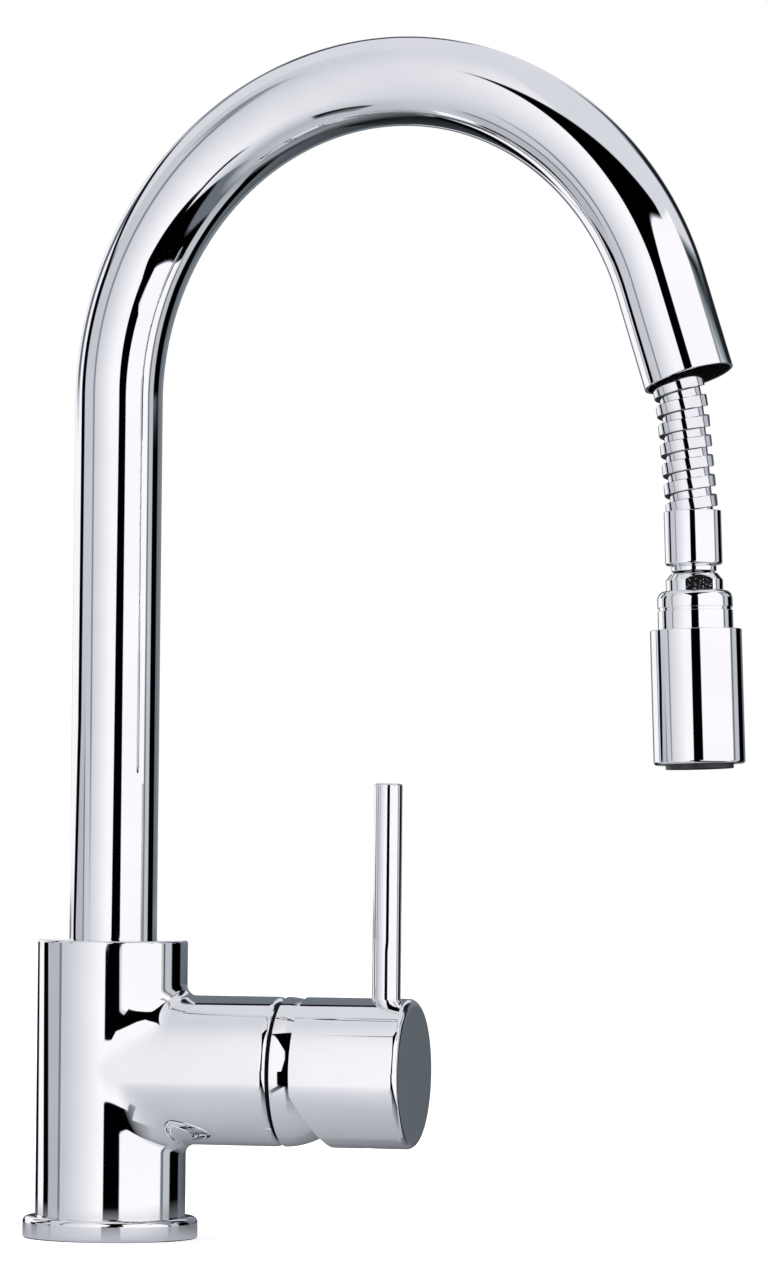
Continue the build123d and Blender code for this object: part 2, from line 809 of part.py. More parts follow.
def head_cap():
    """Domed ring between the ball housing and the head's body."""
    cap_r = cap_d / 2
    top = neck_end
    rim = top + cap_shoulder
    run = cap_r - housing_r
    mid = (housing_r + run * sin(pi / 4), 0, rim - cap_shoulder * cos(pi / 4))
    shoulder_arc = ThreePointArc((housing_r, 0, top), mid, (cap_r, 0, rim))
    sides = Polyline((cap_r, 0, rim), (cap_r, 0, cap_end), (housing_r, 0, cap_end), (housing_r, 0, top))
    return head_frame * revolve(make_face([shoulder_arc, sides]), Axis.Z)


def head_body():
    """Waterway block inside the sleeve, threaded at the top and for the aerator."""
    cap_r = cap_d / 2
    core_r = sleeve_d / 2 - sleeve_wall
    body = turned([
        (housing_r, cap_end), (cap_r - groove_sink, cap_end), (cap_r - groove_sink, cap_end + groove_w),
        (cap_r, cap_end + groove_w), (cap_r, shoulder + sleeve_wall), (core_r, shoulder + sleeve_wall),
        (core_r, sleeve_end - sleeve_edge_r), (aerator_thread_r, sleeve_end - sleeve_edge_r),
        (aerator_thread_r, aerator_seat), (head_chamber_r, aerator_seat),
        (head_chamber_r, head_chamber_start), (head_throat_r, head_chamber_start),
        (head_throat_r, head_throat_start), (valve_r, head_throat_start), (valve_r, washer_end),
        (housing_r, washer_end),
    ])
    return head_frame * body


def head_sleeve():
    """Chromed grip sleeve with a closed upper shoulder."""
    outer = sleeve_d / 2
    inner = outer - sleeve_wall
    collar = cap_d / 2
    sleeve = turned([
        (collar, shoulder), (outer, shoulder), (outer, sleeve_end), (aerator_thread_r, sleeve_end),
        (aerator_thread_r, sleeve_end - sleeve_edge_r), (inner, sleeve_end - sleeve_edge_r),
        (inner, shoulder + sleeve_wall), (collar, shoulder + sleeve_wall),
    ])
    sleeve = fillet(circles_at(sleeve, sleeve_end, outer), sleeve_edge_r)
    return head_frame * fillet(circles_at(sleeve, shoulder, outer), rim_r)


def check_valve():
    """Non-return valve: a ring-shaped body and the poppet on its axis."""
    start = washer_end + valve_gap
    end = start + valve_l - valve_rib
    body = ring(valve_r, valve_bore_r, start, start + valve_l)
    for side in (0, 90):
        rib = Box(2 * valve_r - valve_rib, valve_rib, valve_rib, align=BASE)
        body += Rot(0, 0, side) * Pos(0, 0, end) * rib
    poppet = rod_solid(poppet_r, start + valve_rib, start + valve_rib + poppet_l / 2)
    poppet += rod_solid(poppet_r / 3, start + valve_rib, end)
    return head_frame * (body + poppet)


def aerator_seal():
    return head_frame * ring(aerator_thread_r, aerator_seal_bore_r, aerator_seat, aerator_seal_end)


def aerator_housing():
    """Black screw-in ring with a holed floor at its top and its lip below the sleeve."""
    core_r = aerator_thread_r
    shell = turned([
        (0, aerator_seal_end), (core_r, aerator_seal_end), (core_r, sleeve_end), (aerator_lip_r, sleeve_end),
        (aerator_lip_r, aerator_end), (aerator_bore_r, aerator_end),
        (aerator_bore_r, aerator_seal_end + aerator_floor), (0, aerator_seal_end + aerator_floor),
    ])
    for turn in range(floor_holes):
        hole = rod_solid(core_hole_r, aerator_seal_end, aerator_end)
        shell -= Rot(0, 0, 360 / floor_holes * turn) * Pos(aerator_bore_r * floor_ring_share, 0, 0) * hole
    return head_frame * shell


def aerator_core():
    """Flow straightener: a thick disc pierced by rings of ways."""
    start = aerator_seal_end + aerator_floor
    core = rod_solid(aerator_bore_r, start, start + aerator_core_l)
    for place, radius in enumerate(core_ring_radii):
        count = core_ring_holes * (place + 1)
        for turn in range(count):
            way = Pos(radius, 0, 0) * rod_solid(core_hole_r, start, start + aerator_core_l)
            core -= Rot(0, 0, 360 / count * turn) * way
    return head_frame * core


def aerator_screen():
    """Outlet screen: a thin disc with a hexagonal field of holes."""
    end = aerator_end - screen_sink
    screen = rod_solid(aerator_bore_r, end - screen_t, end)
    reach = aerator_bore_r - screen_hole_r - screen_t / 2
    rows = int(reach / (screen_pitch * sqrt(3) / 2))
    holes = []
    for row in range(-rows, rows + 1):
        y = row * screen_pitch * sqrt(3) / 2
        shift = screen_pitch / 2 if row % 2 else 0
        for column in range(-rows - 1, rows + 2):
            x = column * screen_pitch + shift
            if sqrt(x * x + y * y) <= reach:
                holes.append(Pos(x, y, 0) * rod_solid(screen_hole_r, end - screen_t, end))
    return head_frame * (screen - holes)


pieces = {
    "mixer_body": mixer_body,
    "base_flange": base_flange,
    "base_seal": base_seal,
    "hot_inlet_nipple": hot_inlet_nipple,
    "cold_inlet_nipple": cold_inlet_nipple,
    "outlet_nipple": outlet_nipple,
    "spout_thrust_washer": spout_thrust_washer,
    "spout_retaining_screw": spout_retaining_screw,
    "cartridge_base": cartridge_base,
    "port_seals": port_seals,
    "fixed_ceramic_disc": fixed_ceramic_disc,
    "moving_ceramic_disc": moving_ceramic_disc,
    "disc_driver": disc_driver,
    "cartridge_housing": cartridge_housing,
    "cartridge_rotor": cartridge_rotor,
    "pivot_pin": pivot_pin,
    "cartridge_nut": cartridge_nut,
    "dome_collar": dome_collar,
    "lever_stem": lever_stem,
    "handle_shell": handle_shell,
    "handle_grub_screw": handle_grub_screw,
    "handle_plug": handle_plug,
    "lever_rod": lever_rod,
    "spout_tube": spout_tube,
    "mouth_guide": mouth_guide,
    "spout_foot": spout_foot,
    "spout_slide_rings": spout_slide_rings,
    "spout_o_ring": spout_o_ring,
    "hose_foot_fitting": hose_foot_fitting,
    "hose_inner": hose_inner,
    "hose_free": hose_free,
    "hose_ferrule": hose_ferrule,
    "swivel_neck": swivel_neck,
    "swivel_o_ring": swivel_o_ring,
    "ball_housing": ball_housing,
    "ball_seat": ball_seat,
    "inlet_washer": inlet_washer,
    "head_cap": head_cap,
    "head_body": head_body,
    "head_sleeve": head_sleeve,
    "check_valve": check_valve,
    "aerator_seal": aerator_seal,
    "aerator_housing": aerator_housing,
    "aerator_core": aerator_core,
    "aerator_screen": aerator_screen,
}

for name, make in pieces.items():
    write(name, make())

print("mouth", mouth_at, "shoulder", shoulder_at, "ferrule", ferrule_at)
print("swing centre", swing_centre, "turn to dock", swing_to_dock)
print("disc stroke", round(disc_stroke, 3), "branch direction", branch_out)
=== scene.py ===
from math import acos, atan2, ceil, cos, hypot, pi, radians, sin, sqrt, tan

import bmesh
import bpy
import numpy as np
from mathutils import Matrix, Vector


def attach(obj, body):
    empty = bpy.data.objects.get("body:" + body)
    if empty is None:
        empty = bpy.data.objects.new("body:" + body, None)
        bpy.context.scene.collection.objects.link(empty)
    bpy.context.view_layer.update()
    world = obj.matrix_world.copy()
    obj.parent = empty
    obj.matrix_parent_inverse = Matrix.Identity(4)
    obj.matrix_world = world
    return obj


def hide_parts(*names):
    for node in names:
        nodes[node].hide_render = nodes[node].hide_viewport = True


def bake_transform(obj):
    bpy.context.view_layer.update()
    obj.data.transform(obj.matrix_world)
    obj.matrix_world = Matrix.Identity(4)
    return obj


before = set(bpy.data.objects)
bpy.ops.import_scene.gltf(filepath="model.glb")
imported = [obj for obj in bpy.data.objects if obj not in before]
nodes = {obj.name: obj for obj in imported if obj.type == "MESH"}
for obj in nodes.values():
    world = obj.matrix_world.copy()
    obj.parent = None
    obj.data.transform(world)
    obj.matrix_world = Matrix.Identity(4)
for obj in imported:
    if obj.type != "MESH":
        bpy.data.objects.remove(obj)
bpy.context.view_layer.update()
scene = bpy.context.scene
scene.view_settings.view_transform = "Standard"
mm = 0.001
print("CAD frame loaded with", len(nodes), "nodes")


class Sizes(dict):
    # a dictionary whose entries are also read as sizes.name
    __getattr__ = dict.__getitem__


# Node trees: a Wire is one output socket, and arithmetic on it adds Math nodes

class Wire:
    def __init__(self, tree, socket):
        self.tree = tree
        self.socket = socket

    def calc(self, operation, *values, clamp=False):
        settings = {"operation": operation, "use_clamp": clamp}
        return wire(self.tree, "ShaderNodeMath", settings, dict(enumerate(values)))

    def __rsub__(self, other):
        return self.calc("SUBTRACT", other, self)

    def __neg__(self):
        return self * -1.0

    def rise(self, start, span):
        # 0 up to the start, and 1 from a span further on
        return self.calc("ADD", (self - start) / span, 0.0, clamp=True)


def mathMethod(operation):
    return lambda self, *others: self.calc(operation, self, *others)


for method, operation in {
        "__add__": "ADD", "__radd__": "ADD", "__sub__": "SUBTRACT", "__mul__": "MULTIPLY",
        "__rmul__": "MULTIPLY", "__truediv__": "DIVIDE", "__pow__": "POWER", "sine": "SINE",
        "cosine": "COSINE", "arcSine": "ARCSINE", "arcTangent": "ARCTAN2", "atLeast": "MAXIMUM",
        "atMost": "MINIMUM"}.items():
    setattr(Wire, method, mathMethod(operation))


def fill(tree, node, sockets):
    for key, value in sockets.items():
        if isinstance(value, Wire):
            tree.links.new(value.socket, node.inputs[key])
        else:
            node.inputs[key].default_value = value


def plug(tree, kind, settings=None, sockets=None):
    node = tree.nodes.new(kind)
    for name, value in (settings or {}).items():
        setattr(node, name, value)
    fill(tree, node, sockets or {})
    return node


def wire(tree, kind, settings=None, sockets=None, out=0):
    return Wire(tree, plug(tree, kind, settings, sockets).outputs[out])


def mixColour(tree, share, first, second):
    return wire(tree, "ShaderNodeMix", {"data_type": "RGBA"}, {0: share, 6: first, 7: second}, 2)


def emptyTree(owner):
    owner.use_nodes = True
    owner.node_tree.nodes.clear()
    return owner.node_tree


def showShader(tree, shader, kind="ShaderNodeOutputMaterial"):
    tree.links.new(shader.outputs[0], plug(tree, kind).inputs[0])


def axisParts(tree, vector):
    parts = plug(tree, "ShaderNodeSeparateXYZ", {}, {0: vector})
    return [Wire(tree, parts.outputs[i]) for i in range(3)]


# Camera

cameraPlace = Sizes(
    at=(0.94354, -1.63485, 0.13031),
    right=(0.88804, 0.45967, 0.00967),
    up=(0.00659, -0.03375, 0.99941),
    forward=(-0.45973, 0.88745, 0.03300),
    lens=165.9,
    sensor=36.0,
    clip=(0.05, 50.0),
)


def makeCamera(place):
    data = bpy.data.cameras.new("photoCamera")
    data.lens = place.lens
    data.sensor_width = place.sensor
    data.clip_start, data.clip_end = place.clip
    camera = bpy.data.objects.new("photoCamera", data)
    turn = Matrix((place.right, place.up, -Vector(place.forward))).transposed()
    camera.matrix_world = Matrix.Translation(place.at) @ turn.to_4x4()
    scene.collection.objects.link(camera)
    scene.camera = camera


makeCamera(cameraPlace)


# Studio: a white room, two soft lamps, and a tent of panels and black cards that only reflections see

studio = Sizes(
    worldStrength=0.78,
    floorSize=8.0,
    floorLift=0.5,
    tentRadius=0.7,
    tentAt=(0.05, 0.0, 0.2),
    chromeLevel=0.9,
    tableRadius=0.2,
    tableAt=(0.0, 0.02, 0.0004),
    tableGlow=0.6,
    tableDim=0.62,  # share of the glow taken away behind the barrel: a painted shadow of the tap on the table
    tableFade=(0.2, 0.8),  # start and width of its soft edge, as shares of the radius
    darkTint=(0.88, 1.02, 1.16, 1),
    midTint=(0.968, 1.0, 1.088, 1),
    lightTint=(1.017, 0.992, 1.033, 1),
    lamps=(
        ("softBoxLeft", (-0.9, -1.5, 1.7), (0.05, 0, 0.15), (1.2, 1.2), 9),
        ("softBoxTop", (0.5, 0.3, 2.2), (0.05, 0, 0.1), (1.6, 1.6), 9),
    ),
)


def makeWorld(sizes):
    world = bpy.data.worlds.new("whiteRoom")
    tree = emptyTree(world)
    path = plug(tree, "ShaderNodeLightPath")
    seen, mirrored, through = (
        Wire(tree, path.outputs[f"Is {kind} Ray"]) for kind in ("Camera", "Glossy", "Transmission"))
    white = seen.atLeast(mirrored).atLeast(through)
    strength = sizes.worldStrength + white * (1.0 - sizes.worldStrength)
    back = plug(tree, "ShaderNodeBackground", {}, {"Color": (1, 1, 1, 1), "Strength": strength})
    showShader(tree, back, "ShaderNodeOutputWorld")
    scene.world = world


def softBox(name, at, aim, size, watts):
    light = bpy.data.lights.new(name, "AREA")
    light.shape = "RECTANGLE"
    light.size, light.size_y = size
    light.energy = watts
    lamp = bpy.data.objects.new(name, light)
    lamp.location = at
    lamp.rotation_mode = "QUATERNION"
    lamp.rotation_quaternion = (Vector(aim) - Vector(at)).to_track_quat("-Z", "Y")
    lamp.visible_glossy = False
    scene.collection.objects.link(lamp)


def makeFloor(sizes):
    half = sizes.floorSize / 2
    mesh = bpy.data.meshes.new("floor")
    corners = [(-half, -half, 0), (half, -half, 0), (half, half, 0), (-half, half, 0)]
    mesh.from_pydata(corners, [], [(0, 1, 2, 3)])
    floor = bpy.data.objects.new("floor", mesh)
    material = bpy.data.materials.new("paleFloor")
    tree = emptyTree(material)
    seen = wire(tree, "ShaderNodeLightPath", {}, {}, "Is Camera Ray")
    matt = wire(tree, "ShaderNodeBsdfDiffuse", {}, {"Color": (0.9, 0.9, 0.9, 1)})
    lift = wire(tree, "ShaderNodeEmission", {}, {"Color": (1, 1, 1, 1), "Strength": seen * sizes.floorLift})
    showShader(tree, plug(tree, "ShaderNodeAddShader", {}, {0: matt, 1: lift}))
    mesh.materials.append(material)
    floor.visible_glossy = False
    scene.collection.objects.link(floor)


def tentPattern(tree, direction):
    # around: degrees to the right of the line to the camera; above: degrees over the tent's middle
    x, y, z = axisParts(tree, direction)
    lookX, lookY = 0.4597, 0.888  # the camera stands towards (lookX, -lookY)
    sideways = x * lookY + y * lookX
    towards = x * lookX - y * lookY
    around = sideways.arcTangent(towards) * (180 / pi)
    above = z.arcSine() * (180 / pi)

    def past(value, edge, soft):
        return (value - edge).rise(-soft / 2, soft)

    def between(value, low, high, soft):
        return past(value, low, soft) * (1.0 - past(value, high, soft))

    def over(level, mask, tone):
        return level * (1.0 - mask) + mask * tone

    def block(level, across, up, tone):
        return over(level, between(around, *across) * between(above, *up), tone)

    # the ceiling, and the table below
    level = 0.84 - 0.18 * (-above).rise(10, 50)
    # left panel, brightest near the slit, with the line of its corner
    left = between(around, -104, 0, 4) * between(above, -48, 62, 40)
    level = over(level, left, 0.77 + 0.20 * around.rise(-76, 56))
    level = over(level, between(around + above * 0.2, -71, -66, 2) * between(above, -6, 42, 8), 0.52)
    level = block(level, (-86, -78, 6), (38, 50, 6), 0.5)
    level = block(level, (-112, -84, 3), (-34, -2, 6), 0.70)
    level = over(level, between(around + above * 0.1, -89, -85, 2) * between(above, -29, -3, 3), 0.46)
    level = over(level, between(around - above * 0.5, -50, -22, 3) * between(above, -62, -51, 2), 0.08)
    # right panel
    panelTop = 43.0 - 14.0 * ((58.0 - around).atLeast(0.0) / 42.0) ** 4.0
    panelFoot = -34.0 + 11.0 * ((60.0 - around).atLeast(0.0) / 44.0) ** 2.0
    right = between(around, 13, 86, 2) * past(above, panelFoot, 1.5) * past(panelTop, above, 1.5)
    level = over(level, right, 0.975)
    # black slit between the panels, the wedge over it and the apron under the right panel
    lowBody = (-above).rise(9.6, 0.4)
    slitLeft = -1.0 - 5.2 * (-above).rise(-10, 20) - 6.3 * lowBody
    slitRight = 17.0 - 8.0 * lowBody + 3.0 * (-above).rise(10, 8)
    slit = past(around, slitLeft, 1.5) * past(slitRight, around, 1.5) * between(above, -30, 40, 3)
    wedgeTop = 58.5 - 6.3 * ((around - 6.0) / 45.0) ** 2.0 - 3.0 * ((around - 6.0).atLeast(0.0) / 51.0) ** 3.0
    wedgeLeft = 52.5 - 30.0 * ((around + 40.0).atLeast(0.0) / 39.0) ** 2.2
    wedgeFoot = wedgeLeft.atLeast(panelTop)
    wedge = between(around, -40, 60, 2) * past(wedgeTop, above, 1.5) * past(above, wedgeFoot, 1.5)
    apronFoot = -50.0 + 7.0 * between(around, 30, 62, 24)
    apron = between(around + (above + 30.0) * 0.2, -1, 85, 2) * past(panelFoot, above, 1.5)
    arm = between(around, -23, 0, 5) * between(above - around * 0.45, -31, -26, 2)
    black = (slit + wedge + apron * past(above, apronFoot, 4) + arm).atMost(1.0)
    level = over(level, apron * past(above, -66.0, 12), 0.42)
    level = over(level, black, 0.02)
    # right rear: the room's corner, a dark upright that sweeps away below, and a dim side room
    corner = above + (around - 88.0) * 0.31
    level = over(level, between(corner, 31, 36, 5) * between(around, 86, 132, 6), 0.12)
    level = block(level, (120, 148, 8), (9, 46, 8), 0.14)
    level = block(level, (86, 92, 4), (-32, 30, 10), 0.42)
    level = block(level, (92, 112, 3), (-32, 24, 10), 0.74)
    sideRoom = past(around, 128.0, 3)
    level = over(level, sideRoom * between(above, -60, -9, 2), 0.40 - 0.14 * around.rise(140, 40))
    level = over(level, sideRoom * between(above, -10, 12, 4), 0.42 + 0.10 * around.rise(135, 35))
    dark = between(around + (above + 20.0).atMost(0.0) * 0.5, 107, 132, 3) * between(above, -58, 10, 4)
    dark = dark + past(around, 122.0, 6) * between(above, -63, -54, 6)
    level = over(level, dark.atMost(1.0), 0.02)
    # left rear: a dim corner, a window over and beside it, and the dark frame of the window
    rear = past(-134.0, around, 4)
    level = over(level, rear * between(above, -62, -8.5, 1.5), 0.30 + 0.004 * above.atMost(-8.0))
    level = over(level, past(-125.0, around, 10) * between(above, -64, -50, 8), 0.06)
    level = block(level, (-180, -114, 3), (-8.5, 31, 4), 0.96)
    level = block(level, (-143, -127, 5), (10, 32, 4), 0.40)
    streak = around + (above + 9.0) * 0.55
    level = over(level, between(streak, -148, -120, 3) * between(above, -44, -9, 2), 0.97)
    level = over(level, between(streak, -160, -148, 4) * between(above, -44, -9, 2), 0.03)
    windowTop = above + 0.0085 * (around + 145.0) ** 2.0
    level = over(level, between(windowTop, 32.8, 38.0, 2) * between(around, -148, -102, 4), 0.03)
    level = block(level, (-168, -146, 8), (34, 42, 6), 0.5)
    middle = (past(-163.0, around, 8) + past(around, 170.0, 6)).atMost(1.0)
    level = over(level, middle * between(above, -5, 41, 2), 0.44)
    level = over(level, middle * between(above, 41, 47, 1.5), 0.04)
    upright = around + 107.5 + 13.0 * (-above).rise(2, 7) - 6.0 * (-above).rise(10, 8)
    level = over(level, between(upright, -6.5, 6.5, 2.5) * between(above, -26, 25, 5), 0.02)
    level = block(level, (-122, -108, 3), (-34, -27, 3), 0.08)
    return level


def reflectedOnly(name, mesh, at, material):
    piece = bpy.data.objects.new(name, mesh)
    piece.location = at
    material.cycles.emission_sampling = "NONE"
    mesh.materials.append(material)
    piece.visible_camera = piece.visible_diffuse = piece.visible_shadow = False
    scene.collection.objects.link(piece)
    return piece


def makeTent(sizes):
    mesh = bpy.data.meshes.new("tent")
    dome = bmesh.new()
    bmesh.ops.create_icosphere(dome, subdivisions=5, radius=sizes.tentRadius)
    bmesh.ops.reverse_faces(dome, faces=dome.faces)
    dome.to_mesh(mesh)
    dome.free()
    material = bpy.data.materials.new("tentPanels")
    tree = emptyTree(material)
    where = wire(tree, "ShaderNodeTexCoord", {}, {}, "Object")
    direction = wire(tree, "ShaderNodeVectorMath", {"operation": "NORMALIZE"}, {0: where})
    level = tentPattern(tree, direction)
    tint = mixColour(tree, level.rise(0.35, 0.35), sizes.darkTint, sizes.midTint)
    tint = mixColour(tree, level.rise(0.74, 0.22), tint, sizes.lightTint)
    strength = (level ** 2.2) / sizes.chromeLevel
    showShader(tree, plug(tree, "ShaderNodeEmission", {}, {"Color": tint, "Strength": strength}))
    tent = reflectedOnly("tent", mesh, sizes.tentAt, material)


def makeTable(sizes):
    # the near part of the table, seen only in reflections; its glow drops behind the barrel as a painted
    # shadow
    mesh = bpy.data.meshes.new("table")
    disc = bmesh.new()
    bmesh.ops.create_circle(disc, cap_ends=True, segments=96, radius=sizes.tableRadius)
    disc.to_mesh(mesh)
    disc.free()
    material = bpy.data.materials.new("tableTop")
    tree = emptyTree(material)
    where = wire(tree, "ShaderNodeTexCoord", {}, {}, "Object")
    reach = wire(tree, "ShaderNodeVectorMath", {"operation": "LENGTH"}, {0: where}, "Value")
    x, y, _ = axisParts(tree, where)
    behind = y * 0.974 - x * 0.225 + 0.0195  # metres beyond a slanting line across the disc
    # painted shadow: the glow is dimmed beyond the slanting line, behind the barrel
    strength = sizes.tableGlow * (1.0 - sizes.tableDim * behind.rise(-0.045, 0.09))
    glow = wire(tree, "ShaderNodeEmission", {}, {"Color": sizes.midTint, "Strength": strength})
    clear = wire(tree, "ShaderNodeBsdfTransparent")
    fade = reach.rise(*(sizes.tableRadius * share for share in sizes.tableFade))
    showShader(tree, plug(tree, "ShaderNodeMixShader", {}, {0: fade, 1: glow, 2: clear}))
    table = reflectedOnly("table", mesh, sizes.tableAt, material)


makeWorld(studio)
makeFloor(studio)
makeTent(studio)
makeTable(studio)
for lamp in studio.lamps:
    softBox(*lamp)
print("Camera and studio ready")


# Finishes, all on Object coordinates

def newFinish(name):
    material = bpy.data.materials.new(name)
    tree = emptyTree(material)
    shader = plug(tree, "ShaderNodeBsdfPrincipled")
    showShader(tree, shader)
    where = wire(tree, "ShaderNodeTexCoord", {}, {}, "Object")
    return material, tree, shader, where


def noise(tree, where, scale, detail=2.0, rough=0.5, stretch=None):
    if stretch:
        where = wire(tree, "ShaderNodeMapping", {}, {0: where, "Scale": stretch})
    return wire(tree, "ShaderNodeTexNoise", {}, {
        "Vector": where, "Scale": scale, "Detail": detail, "Roughness": rough})


def bump(tree, height, depth):
    return wire(tree, "ShaderNodeBump", {}, {"Strength": 1.0, "Distance": depth, "Height": height})


def feed(tree, shader, **values):
    fill(tree, shader, {name.replace("_", " "): value for name, value in values.items()})


def plated(name, light, dark, smooth, cloudy, waves):
    # bright plating: faint clouding in its polish, slow waves left by the buffing wheel
    material, tree, shader, where = newFinish(name)
    clouds = noise(tree, where, 45.0, 3.0)
    fine = noise(tree, where, 900.0, 4.0, 0.6)
    colour = mixColour(tree, clouds.rise(0.35, 0.3), (*dark, 1), (*light, 1))
    rough = smooth + cloudy * clouds.rise(0.4, 0.35) + cloudy * 0.6 * fine.rise(0.55, 0.3)
    slow = noise(tree, where, 28.0, 1.0)
    feed(tree, shader, Base_Color=colour, Metallic=1.0, Roughness=rough, Normal=bump(tree, slow, waves))
    return material


def machined(name, light, dark, scale, rough, depth):
    material, tree, shader, where = newFinish(name)
    lines = noise(tree, where, scale, 3.0, 0.6, (1, 1, 14))
    colour = mixColour(tree, lines.rise(0.3, 0.4), (*dark, 1), (*light, 1))
    feed(tree, shader, Base_Color=colour, Metallic=1.0, Roughness=rough + 0.12 * lines,
         Normal=bump(tree, lines, depth))
    return material


def moulded(name, light, dark, rough, grain, depth):
    material, tree, shader, where = newFinish(name)
    speck = noise(tree, where, grain, 4.0, 0.6)
    colour = mixColour(tree, speck.rise(0.35, 0.3), (*dark, 1), (*light, 1))
    feed(tree, shader, Base_Color=colour, Roughness=rough + 0.15 * speck, Normal=bump(tree, speck, depth))
    return material


def paintedFlatReflection(name):
    # painted reflection for the spanner flats: near-black colour, little specular and a few bright metallic
    # grains, standing in for the dark reflection they show; the grains also pit the face by a bump
    material, tree, shader, where = newFinish(name)
    grains = noise(tree, where, 1500.0, 3.0, 0.7)
    glint = grains.rise(0.56, 0.10)
    colour = mixColour(tree, glint, (0.006, 0.006, 0.007, 1), (0.42, 0.43, 0.45, 1))
    feed(tree, shader, Base_Color=colour, Metallic=glint, Roughness=0.62 - 0.3 * glint,
         Specular_IOR_Level=0.08, Normal=bump(tree, grains, 0.00012))
    return material


def paintedShade(name, colour, rough):
    # painted shade: a near-black colour, faintly mottled, laid where no light comes: joints, the mouth and
    # the edges of the hose's strip
    material, tree, shader, where = newFinish(name)
    shadeMottle = noise(tree, where, 300.0, 2.0)
    tone = mixColour(tree, shadeMottle.rise(0.3, 0.4), (*colour, 1), (*(c * 1.6 for c in colour), 1))
    feed(tree, shader, Base_Color=tone, Roughness=rough + 0.2 * shadeMottle, Specular_IOR_Level=0.15)
    return material


def darken(piece, material, chosen):
    piece.data.materials.append(material)
    for polygon in piece.data.polygons:
        if chosen(polygon):
            polygon.material_index = len(piece.data.materials) - 1


finishes = {
    "chrome": plated("chromePlate", (0.92, 0.925, 0.93), (0.88, 0.89, 0.90), 0.018, 0.02, 0.000012),
    "hose_metal": plated("hoseStripMetal", (0.88, 0.885, 0.89), (0.80, 0.81, 0.83), 0.05, 0.05, 0.00001),
    "brass": machined("turnedBrass", (0.80, 0.62, 0.32), (0.60, 0.44, 0.20), 160.0, 0.22, 0.00001),
    "steel": machined("turnedSteel", (0.66, 0.67, 0.69), (0.50, 0.51, 0.54), 200.0, 0.25, 0.00001),
    "rubber": moulded("sealRubber", (0.05, 0.05, 0.05), (0.025, 0.025, 0.027), 0.6, 700.0, 0.00002),
    "slide_plastic": moulded("slidePlastic", (0.88, 0.88, 0.85), (0.80, 0.80, 0.77), 0.42, 400.0, 0.00001),
    "grey_plastic": moulded("greyPlastic", (0.48, 0.49, 0.50), (0.40, 0.41, 0.43), 0.38, 500.0, 0.00001),
    "black_plastic": moulded("blackPlastic", (0.035, 0.035, 0.04), (0.015, 0.015, 0.018), 0.32, 600.0,
                             0.00002),
    "ceramic": moulded("lappedCeramic", (0.94, 0.94, 0.92), (0.88, 0.88, 0.86), 0.16, 900.0, 0.000004),
}
# painted reflection for the spanner flats
paintedBlackFlats = paintedFlatReflection("paintedFlatReflection")
# painted shade for the joint groove and the spout's bore, for the strip's edges and for the mouth guide
paintedJointShade = paintedShade("jointShade", (0.006, 0.006, 0.007), 0.5)
paintedStripEdgeShade = paintedShade("stripEdgeShade", (0.03, 0.03, 0.035), 0.35)
paintedGuideShade = paintedShade("guideShade", (0.02, 0.02, 0.022), 0.5)
chrome = finishes["chrome"]

nodeFinish = {
    "chrome": "mixer_body base_flange dome_collar handle_shell lever_rod spout_tube hose_ferrule swivel_neck "
              "ball_housing head_cap head_body head_sleeve spout_retaining_screw lever_stem",
    "hose_metal": "hose_free hose_inner",
    "brass": "hot_inlet_nipple cold_inlet_nipple outlet_nipple cartridge_nut spout_foot hose_foot_fitting",
    "steel": "pivot_pin handle_grub_screw",
    "rubber": "base_seal port_seals spout_o_ring swivel_o_ring inlet_washer aerator_seal",
    "slide_plastic": "spout_thrust_washer spout_slide_rings mouth_guide ball_seat check_valve "
                     "cartridge_rotor",
    "grey_plastic": "cartridge_base cartridge_housing disc_driver handle_plug aerator_core",
    "black_plastic": "aerator_housing aerator_screen",
    "ceramic": "fixed_ceramic_disc moving_ceramic_disc",
}
for finish, names in nodeFinish.items():
    for name in names.split():
        for materialSlot in nodes[name].material_slots:
            materialSlot.material = finishes[finish]
print("Finishes ready:", len(finishes) + 4)


# Frames of the branch, the rod and the spray head; z runs along their axes

def axisFrame(at, axis, sideways):
    z = Vector(axis).normalized()
    x = (Vector(sideways) - Vector(sideways).dot(z) * z).normalized()
    turn = Matrix((x, z.cross(x), z)).transposed()
    return Matrix.Translation(Vector(at) * mm) @ turn.to_4x4()


axes = Sizes(
    branchAt=Vector((0, 0, 54.0)), branchTurn=radians(13.0), rodOut=90.5,
    headAt=(202.213, 0, 229.143), headTilt=radians(2.3),
)
branchOut = Vector((cos(axes.branchTurn), sin(axes.branchTurn), 0))
branchFrame = axisFrame(axes.branchAt, branchOut, (0, 0, 1))
rodFrame = axisFrame(axes.branchAt + branchOut * axes.rodOut, (0, 0, 1), branchOut)
headFrame = axisFrame(axes.headAt, (sin(axes.headTilt), 0, -cos(axes.headTilt)), (0, 1, 0))
barrelFrame = Matrix.Identity(4)


# Turned pieces: a closed outline of (radius, height, edge rounding) spun round the axis

sharpAngle = radians(30)


